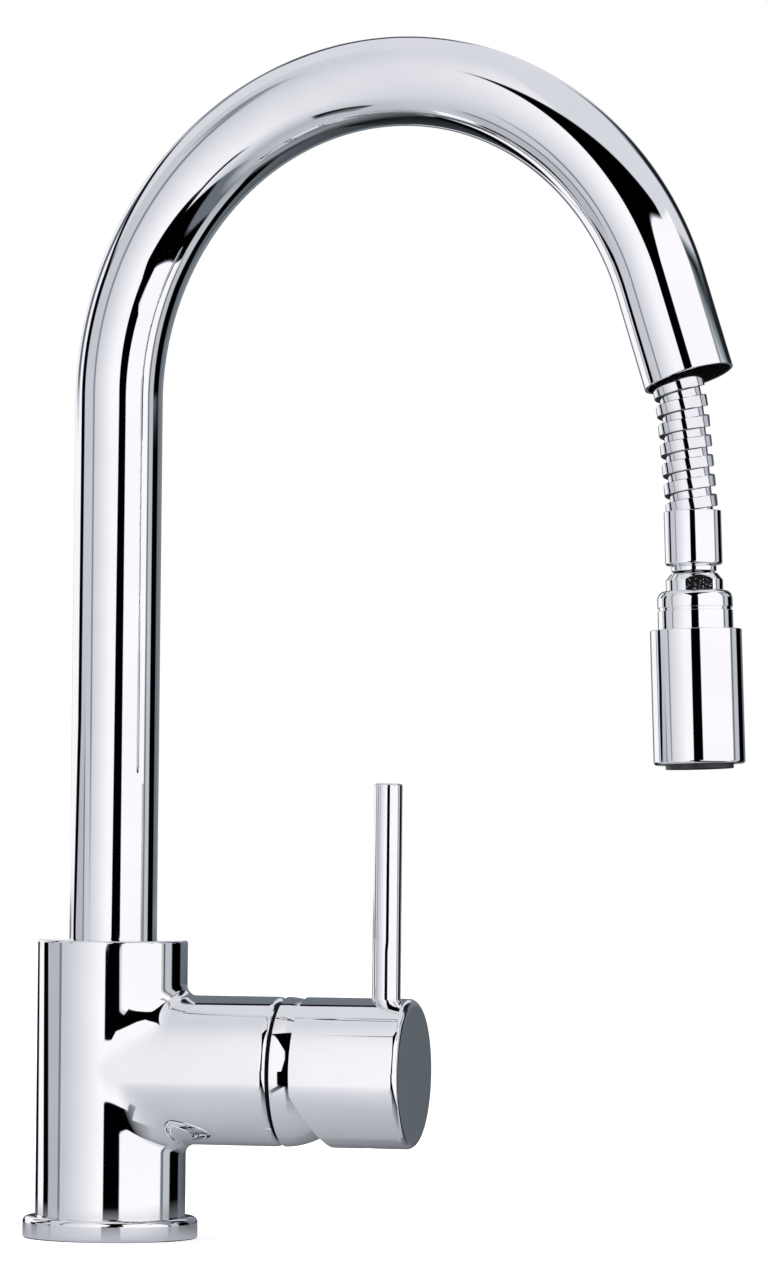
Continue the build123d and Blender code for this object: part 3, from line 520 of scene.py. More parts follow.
def outline(corners, step=None):
    points = []
    for i, corner in enumerate(corners):
        here = Vector(corner[:2])
        before = Vector(corners[i - 1][:2])
        after = Vector(corners[(i + 1) % len(corners)][:2])
        soft = corner[2] if len(corner) > 2 else 0
        if not soft:
            points.append(here)
            continue
        back, on = (before - here).normalized(), (after - here).normalized()
        angle = back.angle(on)
        reach = soft / tan(angle / 2)
        centre = here + (back + on).normalized() * (soft / sin(angle / 2))
        start, end = here + back * reach, here + on * reach
        if (before - here).length > reach + 0.4:
            points.append(start + back * 0.1)  # keeps the straight face flat up to its edge
        first = start - centre
        turnBy = first.angle_signed(end - centre)
        pieces = max(3, ceil(abs(turnBy) / radians(11)))
        for k in range(pieces + 1):
            points.append(centre + Matrix.Rotation(-turnBy * k / pieces, 2) @ first)
        if (after - here).length > reach + 0.4:
            points.append(end + on * 0.1)
    if not step:
        return points
    fine = []
    for i, point in enumerate(points):
        following = points[(i + 1) % len(points)]
        parts = max(1, round((following - point).length / step))
        fine += [point.lerp(following, k / parts) for k in range(parts)]
    return fine


def arcCorners(centreHeight, radius, startHeight, endHeight, pieces):
    # points of a ball's profile between two heights, as plain corners
    found = []
    first = acos((startHeight - centreHeight) / radius)
    last = acos((endHeight - centreHeight) / radius)
    for k in range(pieces + 1):
        a = first + (last - first) * k / pieces
        found.append((radius * sin(a), centreHeight + radius * cos(a)))
    return found


def newPiece(name, mesh, material):
    obj = bpy.data.objects.new(name, mesh)
    scene.collection.objects.link(obj)
    mesh.materials.clear()
    mesh.materials.append(material)
    return obj


def tidyMesh(mesh):
    work = bmesh.new()
    work.from_mesh(mesh)
    bmesh.ops.remove_doubles(work, verts=work.verts, dist=1e-7)
    bmesh.ops.recalc_face_normals(work, faces=work.faces)
    work.to_mesh(mesh)
    work.free()
    mesh.shade_smooth()
    mesh.set_sharp_from_angle(angle=sharpAngle)


def turned(name, corners, place, material, around=128, step=None):
    points = outline(corners, step)
    ring = [(cos(2 * pi * k / around), sin(2 * pi * k / around)) for k in range(around)]
    verts = [place @ (Vector((p.x * c, p.x * s, p.y)) * mm) for p in points for c, s in ring]
    rows = len(points)
    faces = []
    for i in range(rows):
        j = (i + 1) % rows
        if points[i].x < 1e-6 and points[j].x < 1e-6:
            continue
        for k in range(around):
            m = (k + 1) % around
            faces.append((i * around + k, i * around + m, j * around + m, j * around + k))
    mesh = bpy.data.meshes.new(name)
    mesh.from_pydata(verts, [], faces)
    tidyMesh(mesh)
    return newPiece(name, mesh, material)


def seat(piece, body, finish, *stoodFor):
    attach(piece, body)
    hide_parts(*stoodFor)


def chromePart(name, corners, place, body, node, around=128):
    seat(turned(name, corners, place, chrome, around), body, "chrome", node)


# CAD forms with cuts keep their triangles, and take true normals from the surfaces they were cut from

def intoFrame(place, points):
    inverse = place.inverted()
    return points @ np.array(inverse.to_3x3()).T + np.array(inverse.translation)


def outOfFrame(place, directions):
    return directions @ np.array(place.to_3x3()).T


def roundSurface(place, radius):
    def find(points):
        local = intoFrame(place, points)
        flat = local[:, :2]
        size = np.linalg.norm(flat, axis=1)
        normal = np.c_[flat / np.maximum(size, 1e-9)[:, None], np.zeros(len(flat))]
        return np.abs(size - radius * mm), outOfFrame(place, normal)
    return find


def coneSurface(place, lowRadius, lowHeight, highRadius, highHeight):
    slope = (highRadius - lowRadius) / (highHeight - lowHeight)

    def find(points):
        local = intoFrame(place, points)
        size = np.linalg.norm(local[:, :2], axis=1)
        want = (lowRadius + (local[:, 2] / mm - lowHeight) * slope) * mm
        normal = np.c_[local[:, :2] / np.maximum(size, 1e-9)[:, None], np.full(len(local), -slope)]
        normal /= np.linalg.norm(normal, axis=1)[:, None]
        return np.abs(size - want), outOfFrame(place, normal)
    return find


def ballSurface(place, height, radius):
    centre = np.array(place @ Vector((0, 0, height * mm)))

    def find(points):
        arm = points - centre
        size = np.linalg.norm(arm, axis=1)
        return np.abs(size - radius * mm), arm / size[:, None]
    return find


def edgeSurface(place, ringRadius, height, radius):
    def find(points):
        local = intoFrame(place, points)
        size = np.linalg.norm(local[:, :2], axis=1)
        away = np.c_[size - ringRadius * mm, local[:, 2] - height * mm]
        reach = np.linalg.norm(away, axis=1)
        outwards = local[:, :2] / np.maximum(size, 1e-9)[:, None]
        normal = np.c_[outwards * (away[:, :1] / reach[:, None]), away[:, 1] / reach]
        return np.abs(reach - radius * mm), outOfFrame(place, normal)
    return find


def trueCopy(name, node, surfaces, material, reshape=None, tolerance=0.004):
    mesh = nodes[node].data.copy()
    mesh.name = name
    work = bmesh.new()
    work.from_mesh(mesh)
    bmesh.ops.remove_doubles(work, verts=work.verts, dist=1e-6)
    if reshape:
        reshape(work)
    bmesh.ops.triangulate(work, faces=work.faces)
    work.to_mesh(mesh)
    work.free()
    mesh.shade_smooth()
    mesh.set_sharp_from_angle(angle=sharpAngle)
    count = len(mesh.polygons)
    corners = np.zeros(count * 3, np.int32)
    mesh.loops.foreach_get("vertex_index", corners)
    points = np.zeros(len(mesh.vertices) * 3)
    mesh.vertices.foreach_get("co", points)
    points = points.reshape(-1, 3)[corners].reshape(count, 3, 3)
    flat = np.cross(points[:, 1] - points[:, 0], points[:, 2] - points[:, 0])
    flat /= np.maximum(np.linalg.norm(flat, axis=1), 1e-18)[:, None]
    normals = np.repeat(flat[:, None], 3, 1)
    left = np.ones(count, bool)
    for surface in surfaces:
        gap, normal = surface(points.reshape(-1, 3))
        gap, normal = gap.reshape(count, 3), normal.reshape(count, 3, 3)
        middle = normal.mean(1)
        facing = (middle * flat).sum(1)
        fits = left & (gap.max(1) < tolerance * mm) & (np.abs(facing) > 0.8)
        normals[fits] = normal[fits] * np.sign(facing[fits])[:, None, None]
        left &= ~fits
    mesh.normals_split_custom_set(normals.reshape(-1, 3).tolist())
    print(name, "true normals on", count - int(left.sum()), "of", count, "faces")
    return newPiece(name, mesh, material)


# The branch grows out of the barrel in a soft blend, tight above and below and wide at its sides. It is the
# skin that a ball leaves when it rolls round the join, touching both, with a radius that changes on its way.

bodySizes = Sizes(
    barrel=24.0, branch=23.75, top=95.0, edge=0.8, branchEnd=58.0, endEdge=2.8,
    blend=4.0, blendMore=32.0, blendPower=4, cutLow=21, cutHigh=88, cutTurn=2,
    socket=14.15, relief=14.35, cavity=21.5, passage=9.2,
)
close = 0.01  # millimetres within which a point is on a surface


def rollingBall(s, points):
    # points are rows of (up, side, out) in the branch's frame, in millimetres
    def ballAt(angle):
        radius = s.blend + s.blendMore * np.cos(angle) ** s.blendPower
        side = (s.branch + radius) * np.cos(angle)
        out = np.sqrt((s.barrel + radius) ** 2 - side ** 2)
        return np.c_[(s.branch + radius) * np.sin(angle), side, out], radius

    angle = np.arctan2(points[:, 0], points[:, 1])
    span = np.full(len(angle), 0.2)
    for _ in range(36):
        tries = np.stack([angle - span, angle, angle + span])
        depths = []
        for turn in tries:
            centre, radius = ballAt(turn)
            depths.append(((points - centre) ** 2).sum(1) - radius ** 2)
        best = np.argmin(depths, 0)
        angle = tries[best, np.arange(len(angle))]
        span = np.where(best == 1, span * 0.6, span)
    centre, radius = ballAt(angle)
    arm = points - centre
    size = np.linalg.norm(arm, axis=1)
    arm = arm / size[:, None]
    toBarrel = -centre * (0, 1, 1) / (s.barrel + radius)[:, None]
    toBranch = -centre * (1, 1, 0) / (s.branch + radius)[:, None]
    meet = (toBarrel * toBranch).sum(1)
    fromBarrel = (arm * toBarrel).sum(1)
    inside = (fromBarrel > meet - 1e-4) & ((arm * toBranch).sum(1) > meet - 1e-4)
    inside &= (np.abs(size - radius) < 3.0) & (points[:, 2] > 0)
    # eased turning of the normal, so that reflections flow over both edges of the blend without a kink
    whole = np.arccos(np.clip(meet, -1, 1))
    share = np.clip(np.arccos(np.clip(fromBarrel, -1, 1)) / np.maximum(whole, 1e-6), 0, 1)
    eased = share ** 2 * (3 - 2 * share) * whole
    flow = np.sin(whole - eased)[:, None] * toBarrel + np.sin(eased)[:, None] * toBranch
    flow /= np.maximum(np.linalg.norm(flow, axis=1), 1e-9)[:, None]
    return centre, radius[:, None], arm, np.abs(size - radius), inside, flow


def inBranch(points):
    return intoFrame(branchFrame, points) / mm


def vertPlaces(verts):
    return inBranch(np.array([v.co for v in verts]))


def putVert(vert, place):
    vert.co = branchFrame @ (Vector(place) * mm)


def fromAxes(points):
    # distances from the barrel's axis and from the branch's
    return np.hypot(points[:, 1], points[:, 2]), np.hypot(points[:, 0], points[:, 1])


def skinSurface(s):
    def find(points):
        local = inBranch(points)
        fromBarrel, fromBranch = fromAxes(local)
        barrelGap, branchGap = np.abs(fromBarrel - s.barrel), np.abs(fromBranch - s.branch)
        onBranch = (branchGap < barrelGap) & (local[:, 2] > 0)
        flat = np.where(onBranch[:, None], local * (1, 1, 0), local * (0, 1, 1))
        normal = flat / np.maximum(np.linalg.norm(flat, axis=1), 1e-9)[:, None]
        gap = np.where(onBranch, branchGap, barrelGap)
        _, _, _, ballGap, inside, flow = rollingBall(s, local)
        normal = np.where(inside[:, None], -flow, normal)
        gap = np.where(inside, ballGap, gap)
        return gap * mm, outOfFrame(branchFrame, normal)
    return find


def softenJoin(s):
    def reshape(work):
        points = vertPlaces(work.verts)
        fromBarrel, fromBranch = fromAxes(points)
        _, _, _, oldGap, oldInside, _ = rollingBall(Sizes(s, blendMore=0.0), points)
        near = (np.abs(fromBarrel - s.barrel) < close) | (np.abs(fromBranch - s.branch) < close)
        near |= oldInside & (oldGap < close * 2)
        near &= (fromBarrel > s.barrel - close) | (fromBranch > s.branch - close)
        near &= points[:, 2] > -0.5
        skin = work.faces.layers.int.new("skin")
        for face in work.faces:
            face[skin] = all(near[v.index] for v in face.verts)
        planes = [((0, 0, height * mm), (0, 0, 1)) for height in range(s.cutLow, s.cutHigh)]
        for turn in range(-90, 91, s.cutTurn):
            a = axes.branchTurn + radians(turn + 0.5)
            planes.append(((0, 0, 0), (-sin(a), cos(a), 0)))
        for at, across in planes:
            chosen = [f for f in work.faces if f[skin]]
            edges = {e for f in chosen for e in f.edges}
            verts = {v for f in chosen for v in f.verts}
            bmesh.ops.bisect_plane(work, geom=[*verts, *edges, *chosen], dist=2e-6, plane_co=at,
                                   plane_no=across)
        moved = list({v for f in work.faces if f[skin] for v in f.verts})
        points = vertPlaces(moved)
        for _ in range(4):
            centre, radius, arm, _, inside, _ = rollingBall(s, points)
            fromBarrel, fromBranch = fromAxes(points)
            onBranch = np.abs(fromBranch - s.branch) < np.abs(fromBarrel - s.barrel)
            onBranch &= points[:, 2] > 0
            reach = np.where(onBranch, s.branch / fromBranch, s.barrel / fromBarrel)[:, None]
            outwards = np.where(onBranch[:, None], (1, 1, 0), (0, 1, 1))
            straight = np.where(outwards == 1, points * reach, points)
            points = np.where(inside[:, None], centre + arm * radius, straight)
        for vert, place in zip(moved, points):
            putVert(vert, place)
        roundRim(work, s.branch, s.branchEnd, s.edge, s.endEdge)
    return reshape


def roundRim(work, radius, end, oldEdge, newEdge):
    # moves the rows of a rim's small edge onto a larger rounding, and draws the rows before it back
    points = vertPlaces(work.verts)
    work.verts.ensure_lookup_table()
    across = fromAxes(points)[1]
    inwards, onwards = radius - across, end - points[:, 2]
    inRim = (inwards > -close) & (inwards < oldEdge + close)
    inRim &= (onwards > -close) & (onwards < oldEdge + close)
    for i in np.nonzero(inRim)[0]:
        turn = atan2(max(oldEdge - onwards[i], 0), max(oldEdge - inwards[i], 0))
        size = (radius - newEdge + newEdge * cos(turn)) / across[i]
        place = (points[i, 0] * size, points[i, 1] * size, end - newEdge + newEdge * sin(turn))
        putVert(work.verts[int(i)], place)
    drawn = newEdge * 2
    share = (drawn - newEdge) / (drawn - oldEdge)
    for i in np.nonzero((np.abs(inwards) < close) & (onwards > oldEdge + close) & (onwards < drawn))[0]:
        place = (points[i, 0], points[i, 1], end - newEdge - (onwards[i] - oldEdge) * share)
        putVert(work.verts[int(i)], place)


def makeBody(s):
    inner = s.barrel - s.edge
    body = trueCopy("mixerBody", "mixer_body", [
        skinSurface(s),
        edgeSurface(barrelFrame, inner, s.top - s.edge, s.edge),
        edgeSurface(branchFrame, s.branch - s.endEdge, s.branchEnd - s.endEdge, s.endEdge),
        *(roundSurface(barrelFrame, s[bore]) for bore in ("socket", "relief", "cavity", "passage")),
    ], chrome, softenJoin(s))
    seat(body, "base", "chrome", "mixer_body")


flangeSizes = Sizes(
    outer=28.0, bore=24.1, lip=22.8, height=7.0, foot=1.5, edge=2.0, lowEdge=0.9,
    grooveOuter=26.8, grooveInner=24.6, grooveDepth=1.2,
)


def makeFlange(s):
    chromePart("baseFlange", [
        (s.bore, s.foot), (s.bore, s.height, 0.15), (s.outer, s.height, s.edge),
        (s.outer, 0, s.lowEdge), (s.grooveOuter, 0), (s.grooveOuter, s.grooveDepth),
        (s.grooveInner, s.grooveDepth), (s.grooveInner, 0), (s.lip, 0), (s.lip, s.foot),
    ], barrelFrame, "base", "base_flange", 192)


domeSizes = Sizes(
    pivot=58.0, outer=23.75, inner=21.75, opening=16.4, thread=18.0, threadLength=3.5,
    joint=0.6, jointDepth=1.0,
)


def makeDome(s):
    rim = s.pivot + sqrt(s.outer ** 2 - s.opening ** 2)
    rimInside = s.pivot + sqrt(s.inner ** 2 - s.opening ** 2)
    jointEnd, jointFloor = s.pivot + s.joint, s.outer - s.jointDepth
    dome = turned("domeCollar", [
        (jointFloor, s.pivot), (jointFloor, jointEnd), *arcCorners(s.pivot, s.outer, jointEnd, rim, 20),
        *arcCorners(s.pivot, s.inner, rimInside, s.pivot + s.threadLength, 14),
        (s.thread, s.pivot + s.threadLength), (s.thread, s.pivot),
    ], branchFrame, chrome, 160)
    inverse = branchFrame.inverted()

    def inJoint(polygon):
        place = inverse @ polygon.center / mm
        return place.z < jointEnd + close and hypot(place.x, place.y) > s.thread + 0.5
    # painted shade: the joint groove's faces are coloured near-black for the shade in the groove, and for
    # some grime there
    darken(dome, paintedJointShade, inJoint)
    seat(dome, "base", "chrome", "dome_collar")


handleSizes = Sizes(
    barrel=23.75, hollow=24.05, pivot=58.0, hub=6.6, face=100.0, chamfer=0.5,
    faceEdge=2.2, cuts=8,
)


def roundFace(s):
    def reshape(work):
        for step in range(1, s.cuts):
            at = branchFrame @ Vector((0, 0, (s.face - s.chamfer * step / s.cuts) * mm))
            bmesh.ops.bisect_plane(work, geom=[*work.verts, *work.edges, *work.faces], dist=2e-6, plane_co=at,
                                   plane_no=branchOut)
        roundRim(work, s.barrel, s.face, s.chamfer, s.faceEdge)
    return reshape


def makeHandle(s):
    handle = trueCopy("leverHandle", "handle_shell", [
        roundSurface(branchFrame, s.barrel),
        ballSurface(branchFrame, s.pivot, s.hollow),
        roundSurface(branchFrame, s.hub),
        edgeSurface(branchFrame, s.barrel - s.faceEdge, s.face - s.faceEdge, s.faceEdge),
    ], chrome, roundFace(s))
    seat(handle, "lever", "chrome", "handle_shell")


rodSizes = Sizes(radius=4.5, seat=9.5, seatEdge=0.3, top=91.7, edge=0.8)


def makeRod(s):
    chromePart("leverRod", [
        (0, s.seat), (s.radius, s.seat, s.seatEdge), (s.radius, s.top, s.edge), (0, s.top),
    ], rodFrame, "lever", "lever_rod", 96)


makeBody(bodySizes)
makeFlange(flangeSizes)
makeDome(domeSizes)
makeHandle(handleSizes)
makeRod(rodSizes)
print("Body and lever made")


# The gooseneck's route: up, round the bend, down the outlet, and for the hose a last turn to the head

route = Sizes(
    startHeight=92.0, rise=176.0, bendRadius=98.0, sweep=radians(161.5),
    outlet=31.0, turnRadius=98.0, turn=0.0,
)
hoseRoute = Sizes(route, outlet=16.35, turn=radians(16.2))
bendLength = route.bendRadius * route.sweep
mouthAlong = route.rise + bendLength + route.outlet
lastTurn = hoseRoute.turnRadius * hoseRoute.turn
hoseTail = 27.3  # straight hose from the last turn to the ferrule
ferruleAlong = route.rise + bendLength + hoseRoute.outlet + lastTurn + hoseTail


def bendTree(name, sizes, extra):
    # a tree whose inputs are the route's sizes in metres and radians, with any further inputs
    tree = bpy.data.node_groups.new(name, "GeometryNodeTree")
    tree.interface.new_socket("Geometry", in_out="INPUT", socket_type="NodeSocketGeometry")
    for label, value in {**sizes, **extra}.items():
        kind = {float: "NodeSocketFloat", int: "NodeSocketInt"}.get(type(value), "NodeSocketObject")
        socket = tree.interface.new_socket(label, in_out="INPUT", socket_type=kind)
        if kind != "NodeSocketObject":
            socket.default_value = value
    tree.interface.new_socket("Geometry", in_out="OUTPUT", socket_type="NodeSocketGeometry")
    inlet = tree.nodes.new("NodeGroupInput")
    return tree, Sizes((socket.name, Wire(tree, socket)) for socket in inlet.outputs if socket.name)


def either(method, plain):
    # the same sum for a Wire and for a plain number
    def run(value, *more):
        return getattr(value, method)(*more) if isinstance(value, Wire) else plain(value, *more)
    return run


sine, cosine = either("sine", sin), either("cosine", cos)
atLeast, atMost = either("atLeast", max), either("atMost", min)


def routeAt(r, along, across):
    # straight up, round the bend, straight down the outlet, round the last turn, and straight on as a tail
    past = along - r.rise
    first = atMost(atLeast(past / r.bendRadius, 0.0), r.sweep)
    past = past - r.bendRadius * r.sweep
    straight = atMost(atLeast(past, 0.0), r.outlet)
    past = past - r.outlet
    second = atMost(atLeast(past / r.turnRadius, 0.0), r.turn)
    tail = atLeast(past - r.turnRadius * r.turn, 0.0)
    angle, full, swung = first + second, r.sweep + r.turn, r.sweep + second
    x = r.bendRadius * (1.0 - cosine(first)) + straight * sine(r.sweep)
    x = x + r.turnRadius * (cosine(r.sweep) - cosine(swung))
    x = x + tail * sine(full) + across * cosine(angle)
    z = r.startHeight + atMost(along, r.rise) + r.bendRadius * sine(first)
    z = z + straight * cosine(r.sweep) + r.turnRadius * (sine(swung) - sine(r.sweep))
    z = z + tail * cosine(full) - across * sine(angle)
    return x, z


def bendAlong(tree, geometry, size):
    across, side, along = axisParts(tree, wire(tree, "GeometryNodeInputPosition"))
    x, z = routeAt(size, along, across)
    bent = wire(tree, "ShaderNodeCombineXYZ", {}, {0: x, 1: side, 2: z})
    return wire(tree, "GeometryNodeSetPosition", {}, {"Geometry": geometry, "Position": bent})


def endTree(tree, geometry, material):
    geometry = wire(tree, "GeometryNodeRealizeInstances", {}, {0: geometry})
    geometry = wire(tree, "GeometryNodeSetMaterial", {}, {"Geometry": geometry, "Material": material})
    out = tree.nodes.new("NodeGroupOutput")
    tree.links.new(geometry.socket, out.inputs[0])


def runTree(obj, tree, values, name, material):
    modifier = obj.modifiers.new(tree.name, "NODES")
    modifier.node_group = tree
    for item in tree.interface.items_tree:
        if item.item_type == "SOCKET" and item.in_out == "INPUT" and item.name in values:
            modifier[item.identifier] = values[item.name]
    bpy.context.view_layer.update()
    made = bpy.data.meshes.new_from_object(obj.evaluated_get(bpy.context.evaluated_depsgraph_get()))
    bpy.data.objects.remove(obj)
    tidyMesh(made)
    return newPiece(name, made, material)


def inMetres(sizes):
    return {key: value if key in ("sweep", "turn") else value * mm for key, value in sizes.items()}


def bentTube(name, corners, sizes, material, around=96, hollow=0.0):
    straight = turned(name + "Straight", corners, barrelFrame, material, around, step=2.0)
    inside = [p.index for p in straight.data.polygons if hypot(*p.center.xy) < hollow * mm]
    tree, size = bendTree(name + "Bend", inMetres(sizes), {})
    endTree(tree, bendAlong(tree, size.Geometry, size), material)
    tube = runTree(straight, tree, inMetres(sizes), name, material)
    # painted shade: the bore's faces are coloured near-black for the shade inside the tube, and for its dull
    # unplated metal
    if inside:
        darken(tube, paintedJointShade, lambda polygon, chosen=set(inside): polygon.index in chosen)
    return tube


tubeSizes = Sizes(outer=14.0, bore=13.0, rim=0.3)


def makeSpout(s):
    tube = bentTube("spoutTube", [
        (s.bore, 0), (s.outer, 0), (s.outer, mouthAlong, s.rim), (s.bore, mouthAlong, s.rim),
    ], route, chrome, 112, s.bore + 0.1)
    seat(tube, "spout", "chrome", "spout_tube")


guideSizes = Sizes(depth=15.0, length=8.0, bore=10.4, outer=13.0, play=0.02)


def makeGuide(s):
    lead = (s.outer - s.bore) / 2
    low = mouthAlong - s.depth - s.length
    high = mouthAlong - s.depth
    skin = s.outer - s.play
    # painted shade: the white plastic guide is coloured near-black, as the shade deep in the mouth
    guide = bentTube("mouthGuide", [
        (skin, low), (skin, high), (s.bore + lead, high, 0.2),
        (s.bore, high - lead, 0.4), (s.bore, low + lead, 0.4), (s.bore + lead, low, 0.2),
    ], route, paintedGuideShade, 96)
    seat(guide, "spout", "slide_plastic", "mouth_guide")


# Strip-wound hose: a strip with a raised band and a sunk one, coiled and then bent along the route

hoseSizes = Sizes(
    radius=8.0, valley=6.45, wall=0.4, band=3.5, pitch=6.1, lap=0.55, bandEdge=0.16,
    lip=0.12, lapGap=0.15, inside=92.0, into=2.6, coil=7.2, coilTurn=99.0, perTurn=72,
    lean=2.9, leanOut=41.0, leanIn=44.0, bore=5.0, innerSkin=0.05, footHeight=16.0,
)


def stripSection(s):
    # cross-section of the strip; x is outwards and y runs down the coil
    half = s.band / 2
    low = s.valley - s.wall
    reach = s.pitch - half + s.lap
    soft = s.bandEdge
    start = -half + s.lap + s.lapGap
    corners = [
        (s.valley + s.lip, -half), (s.radius - soft, -half), (s.radius, soft - half),
        (s.radius, half - soft), (s.radius - soft, half), (s.valley, half),
        (s.valley, reach), (low, reach), (low, start), (s.valley + s.lip, start),
    ]
    curve = bpy.data.curves.new("stripSection", "CURVE")
    curve.dimensions = "3D"
    spline = curve.splines.new("POLY")
    spline.points.add(len(corners) - 1)
    for point, (out, down) in zip(spline.points, corners):
        point.co = ((s.coil - out) * mm, -down * mm, 0, 1)
    spline.use_cyclic_u = True
    section = bpy.data.objects.new("stripSection", curve)
    scene.collection.objects.link(section)
    return section


def makeHose(s):
    start = mouthAlong - s.inside
    length = ferruleAlong + s.into - start
    section = stripSection(s)
    extra = {"turns": length / s.pitch, "length": length * mm, "start": start * mm, "mouth": mouthAlong * mm,
             **{key: s[key] * mm for key in ("coil", "lean", "leanOut", "leanIn")},
             "coilTurn": radians(s.coilTurn), "perTurn": s.perTurn, "section": None}
    tree, size = bendTree("stripWoundHose", inMetres(hoseRoute), extra)
    coil = wire(tree, "GeometryNodeCurveSpiral", {}, {
        "Resolution": size.perTurn, "Rotations": size.turns, "Start Radius": size.coil,
        "End Radius": size.coil, "Height": size.length})
    coil = wire(tree, "GeometryNodeSetCurveNormal", {"mode": "Z_UP"}, {0: coil})
    profile = wire(tree, "GeometryNodeObjectInfo", {}, {"Object": size.section}, "Geometry")
    strip = wire(tree, "GeometryNodeCurveToMesh", {}, {
        "Curve": coil, "Profile Curve": profile, "Fill Caps": True})
    place = wire(tree, "GeometryNodeInputPosition")
    height = axisParts(tree, place)[2] + size.start - size.mouth
    hung = (1.0 - height / size.leanOut).atMost(1.0).atLeast(0.0)
    held = (1.0 + height / size.leanIn).atMost(1.0).atLeast(0.0)
    held = held * held * (3.0 - 2.0 * held)
    lifted = wire(tree, "ShaderNodeCombineXYZ", {}, {0: size.lean * hung * held, 2: size.start})
    wound = wire(tree, "ShaderNodeVectorMath", {"operation": "MULTIPLY"}, {0: place, 1: (1, -1, 1)})
    wound = wire(tree, "ShaderNodeVectorRotate", {"rotation_type": "Z_AXIS"}, {
        "Vector": wound, "Angle": size.coilTurn})
    strip = wire(tree, "GeometryNodeSetPosition", {}, {
        "Geometry": strip, "Position": wound, "Offset": lifted})
    endTree(tree, bendAlong(tree, strip, size), finishes["hose_metal"])
    holder = bpy.data.objects.new("hoseHolder", bpy.data.meshes.new("hoseHolder"))
    scene.collection.objects.link(holder)
    hose = runTree(holder, tree, {**inMetres(hoseRoute), **extra, "section": section}, "pullOutHose",
                   finishes["hose_metal"])
    bpy.data.objects.remove(section)
    lean = route.sweep + hoseRoute.turn / 2
    axis = Vector((sin(lean), 0, cos(lean)))
    # painted shade: the strip's faces that face along the hose are coloured near-black, as the shade lines at
    # the bands' edges
    darken(hose, paintedStripEdgeShade, lambda polygon: abs(polygon.normal.dot(axis)) > 0.75)
    print("hose faces", len(hose.data.polygons))
    foot, skin = s.footHeight - route.startHeight, s.radius - s.innerSkin
    inner = bentTube("innerHose", [
        (s.bore, foot), (skin, foot), (skin, start), (s.bore, start),
    ], route, finishes["hose_metal"], 48)
    seat(inner, "spout", "hose_metal", "hose_inner")
    routePoint(mouthAlong - 80)
    routePoint(mouthAlong + 22)
    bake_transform(hose)
    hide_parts("hose_free")


def routePoint(along):
    # a point of the hose's route in metres
    x, z = routeAt(hoseRoute, along, 0.0)
    return (x * mm, 0, z * mm)


makeSpout(tubeSizes)
makeGuide(guideSizes)
makeHose(hoseSizes)
print("ferrule meets the route at", [round(c / mm, 2) for c in routePoint(ferruleAlong)])
print("Spout and hose made")


# Ferrule, swivel and spray head; heights run down their axis from the top of the ferrule

headSizes = Sizes(
    ferrule=8.75, ferruleLength=16.6, ferruleEdge=0.9, cup=8.15, cupDepth=3.0,
    tail=4.95, tailStart=-12, tailBore=3.5, neckSocket=5.6, socketStart=4.9,
    neckTail=5.4, neckTailStart=5.2, neckBore=3.0,
    waist=6.9, waistStart=16.9, waistEnd=18.3, stem=5.0,
    ball=7.5, ballAt=27.2, ballFlat=33.2,
    coneStart=19.2, coneTop=7.2, neckStart=21.2, neck=8.75, flat=7.65,
    housing=9.4, housingHollow=7.56, housingSocket=9.42, housingEnd=35.0,
    cap=11.5, capStart=24.4, capShoulder=2.8, capEnd=29.6, grooveEnd=30.5, grooveSink=0.4,
    inlet=7.02, inletEnd=50.0, waterway=4.5, waterwayEnd=54.0,
    chamber=8.0, chamberEnd=66.2, outlet=11.02, coreStart=37.5, coreEnd=76.4,
    sleeve=14.0, sleeveStart=36.3, sleeveEnd=77.4, sleeveWall=1.2, sleeveEdge=1.0,
    play=0.03, hollowStart=37.52, hollowEnd=76.42,
)


def makeFerrule(s):
    chromePart("hoseFerrule", [
        (s.tailBore, s.tailStart), (s.tail, s.tailStart, 0.2), (s.tail, s.cupDepth),
        (s.cup, s.cupDepth), (s.cup, 0, 0.1), (s.ferrule, 0, 0.25),
        (s.ferrule, s.ferruleLength, s.ferruleEdge), (s.neckSocket, s.ferruleLength),
        (s.neckSocket, s.socketStart), (s.tailBore, s.socketStart),
    ], headFrame, "hose_end", "hose_ferrule")


def makeNeck(s):
    taper = s.waistEnd + s.waist - s.stem
    ballLow = s.ballAt - sqrt(s.ball ** 2 - s.stem ** 2)
    chromePart("swivelNeck", [
        (s.neckBore, s.neckTailStart), (s.neckTail, s.neckTailStart),
        (s.neckTail, s.waistStart), (s.waist, s.waistStart, 0.25),
        (s.waist, s.waistEnd, 0.3), (s.stem, taper),
        *arcCorners(s.ballAt, s.ball, ballLow, s.ballFlat, 18), (s.neckBore, s.ballFlat),
    ], headFrame, "swivel", "swivel_neck")


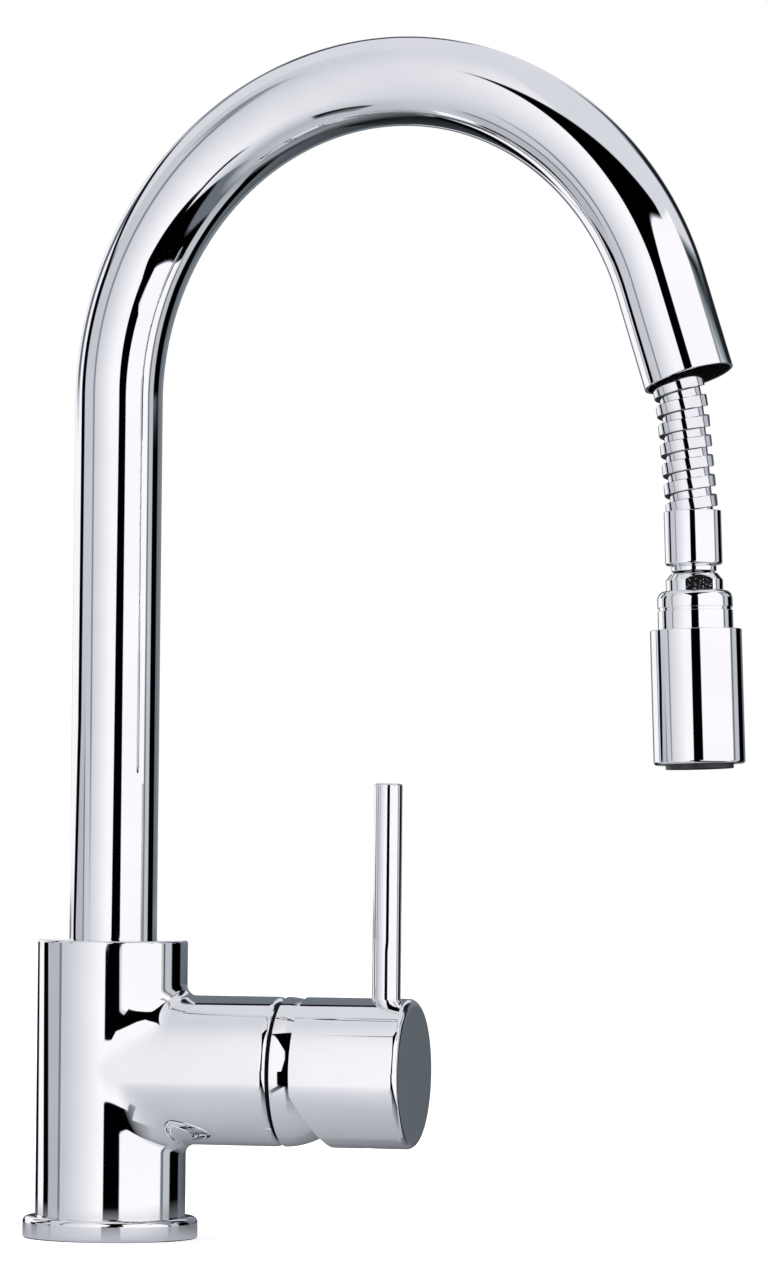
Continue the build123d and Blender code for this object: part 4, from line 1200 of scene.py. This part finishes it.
def makeHousing(s):
    housing = trueCopy("ballHousing", "ball_housing", [
        roundSurface(headFrame, s.neck),
        coneSurface(headFrame, s.coneTop, s.coneStart, s.neck, s.neckStart),
        roundSurface(headFrame, s.housing),
        ballSurface(headFrame, s.ballAt, s.housingHollow),
    ], chrome)
    inverse = headFrame.inverted()

    def onFlat(polygon):
        local = inverse.to_3x3() @ polygon.normal
        place = inverse @ polygon.center / mm
        return abs(local.z) < 0.01 and abs(local.x * place.x + local.y * place.y - s.flat) < 0.02
    # painted reflection: the spanner flats are coloured near-black in place of the dark reflection they show
    darken(housing, paintedBlackFlats, onFlat)
    seat(housing, "head", "chrome", "ball_housing")


def makeHead(s):
    shoulder = [
        (s.housing + (s.cap - s.housing) * sin(a), s.capStart + s.capShoulder * (1 - cos(a)))
        for a in (radians(10 * k) for k in range(10))
    ]
    socket, outlet = s.housingSocket, s.outlet
    chromePart("headCap", [
        *shoulder, (s.cap, s.capEnd, 0.15), (socket, s.capEnd), (socket, s.capStart),
    ], headFrame, "head", "head_cap")
    core = s.sleeve - s.sleeveWall
    low = s.cap - s.grooveSink
    chromePart("headBlock", [
        (socket, s.capEnd), (low, s.capEnd), (low, s.grooveEnd), (s.cap, s.grooveEnd, 0.15),
        (s.cap, s.coreStart), (core, s.coreStart), (core, s.coreEnd), (outlet, s.coreEnd),
        (outlet, s.chamberEnd), (s.chamber, s.chamberEnd), (s.chamber, s.waterwayEnd),
        (s.waterway, s.waterwayEnd), (s.waterway, s.inletEnd), (s.inlet, s.inletEnd),
        (s.inlet, s.housingEnd), (socket, s.housingEnd),
    ], headFrame, "head", "head_body")
    inside = s.cap + s.play
    chromePart("sprayGrip", [
        (inside, s.sleeveStart, 0.08), (s.sleeve, s.sleeveStart, 0.3),
        (s.sleeve, s.sleeveEnd, s.sleeveEdge), (outlet, s.sleeveEnd, 0.1), (outlet, s.hollowEnd),
        (core, s.hollowEnd), (core, s.hollowStart), (inside, s.hollowStart),
    ], headFrame, "head", "head_sleeve", 160)


makeFerrule(headSizes)
makeNeck(headSizes)
makeHousing(headSizes)
makeHead(headSizes)
print("Spray head made")
